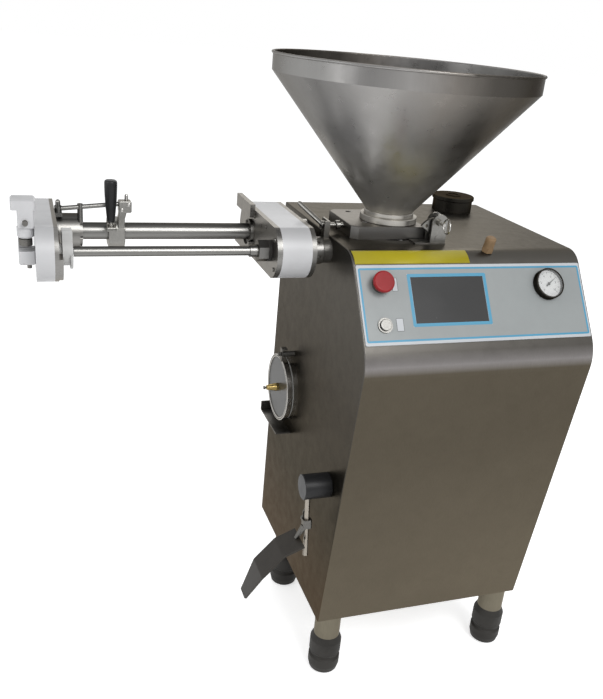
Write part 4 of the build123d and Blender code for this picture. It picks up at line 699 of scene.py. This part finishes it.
# Camera from the photograph's fit, with its focal length and picture height in pixels
FOCAL = 805.2
PICTURE_HEIGHT = 699
SENSOR = 36
yaw = math.radians(20.26)
pitch = math.radians(22.32)
roll = math.radians(-5.31)
forward = Vector((math.sin(yaw) * math.cos(pitch), math.cos(yaw) * math.cos(pitch), -math.sin(pitch)))
level = Vector((math.cos(yaw), -math.sin(yaw), 0))
below = forward.cross(level)
right = math.cos(roll) * level + math.sin(roll) * below
down = -math.sin(roll) * level + math.cos(roll) * below
camera_data = bpy.data.cameras.new("camera")
camera = bpy.data.objects.new("camera", camera_data)
bpy.context.scene.collection.objects.link(camera)
camera_data.lens = FOCAL * SENSOR / PICTURE_HEIGHT
camera_data.sensor_width = SENSOR
camera_data.clip_start = 0.01
turn = Matrix((right, -down, -forward)).transposed().to_4x4()
camera.matrix_world = Matrix.Translation(at(-551.6, -1271.0, 1323.0)) @ turn
bpy.context.scene.camera = camera
bpy.context.scene.view_settings.view_transform = "Standard"


def seen_directly(tree):
    """One for camera, glossy and transmission rays, which see the white background."""
    path = tree.nodes.new("ShaderNodeLightPath")
    value = path.outputs["Is Camera Ray"]
    for name in ("Is Glossy Ray", "Is Transmission Ray"):
        either = tree.nodes.new("ShaderNodeMath")
        either.operation = "MAXIMUM"
        tree.links.new(value, either.inputs[0])
        tree.links.new(path.outputs[name], either.inputs[1])
        value = either.outputs[0]
    return value


# Pale floor that keeps the shadow, and glows a little for the rays that see the background
FLOOR_GLOW = 0.62
floor_mesh = bpy.data.meshes.new("floor")
floor_mesh.from_pydata([(-30, -30, 0), (30, -30, 0), (30, 30, 0), (-30, 30, 0)], [], [(0, 1, 2, 3)])
floor = bpy.data.objects.new("floor", floor_mesh)
bpy.context.scene.collection.objects.link(floor)
floor_look = Nodes("floor_pale")
pale = [(0.3, (0.84, 0.84, 0.84)), (0.7, (0.88, 0.88, 0.88))]
floor_look.color(floor_look.ramp(floor_look.noise(3), pale))
floor_look.set(rough=0.9, specular=0.0)
glow = floor_look.add("ShaderNodeEmission")
lit = floor_look.add("ShaderNodeMath", operation="MULTIPLY")
lit.inputs[1].default_value = FLOOR_GLOW
floor_look.link(seen_directly(floor_look.tree), lit.inputs[0])
floor_look.link(lit.outputs[0], glow.inputs["Strength"])
both = floor_look.add("ShaderNodeAddShader")
floor_look.link(floor_look.bsdf.outputs[0], both.inputs[0])
floor_look.link(glow.outputs[0], both.inputs[1])
floor_look.link(both.outputs[0], floor_look.out.inputs["Surface"])
floor_mesh.materials.append(floor_look.mat)

# World: a soft light on the object, and white where it is seen
world = bpy.data.worlds.new("studio")
bpy.context.scene.world = world
world.use_nodes = True
tree = world.node_tree
tree.nodes.clear()
world_out = tree.nodes.new("ShaderNodeOutputWorld")
soft_sky = tree.nodes.new("ShaderNodeBackground")
soft_sky.inputs["Color"].default_value = (0.98, 0.99, 1.0, 1)
soft_sky.inputs["Strength"].default_value = 0.55
white_sky = tree.nodes.new("ShaderNodeBackground")
white_sky.inputs["Color"].default_value = (1, 1, 1, 1)
white_sky.inputs["Strength"].default_value = 1.0
sky_mix = tree.nodes.new("ShaderNodeMixShader")
tree.links.new(seen_directly(tree), sky_mix.inputs[0])
tree.links.new(soft_sky.outputs[0], sky_mix.inputs[1])
tree.links.new(white_sky.outputs[0], sky_mix.inputs[2])
tree.links.new(sky_mix.outputs[0], world_out.inputs["Surface"])


def lamp(name, place, target, size, power):
    """Area lamp that faces a point."""
    data = bpy.data.lights.new(name, "AREA")
    data.shape = "RECTANGLE"
    data.size, data.size_y = size
    data.energy = power
    obj = bpy.data.objects.new(name, data)
    bpy.context.scene.collection.objects.link(obj)
    obj.location = place
    obj.rotation_euler = (Vector(target) - Vector(place)).to_track_quat("-Z", "Y").to_euler()


lamp("key", (0.6, -2.6, 2.9), (0.1, 0, 0.7), (1.6, 1.6), 62)
lamp("left", (-3.0, -0.9, 1.9), (0, 0, 0.7), (1.2, 2.2), 26)
lamp("back", (1.2, 2.4, 2.6), (0.1, 0, 0.8), (1.6, 1.2), 24)
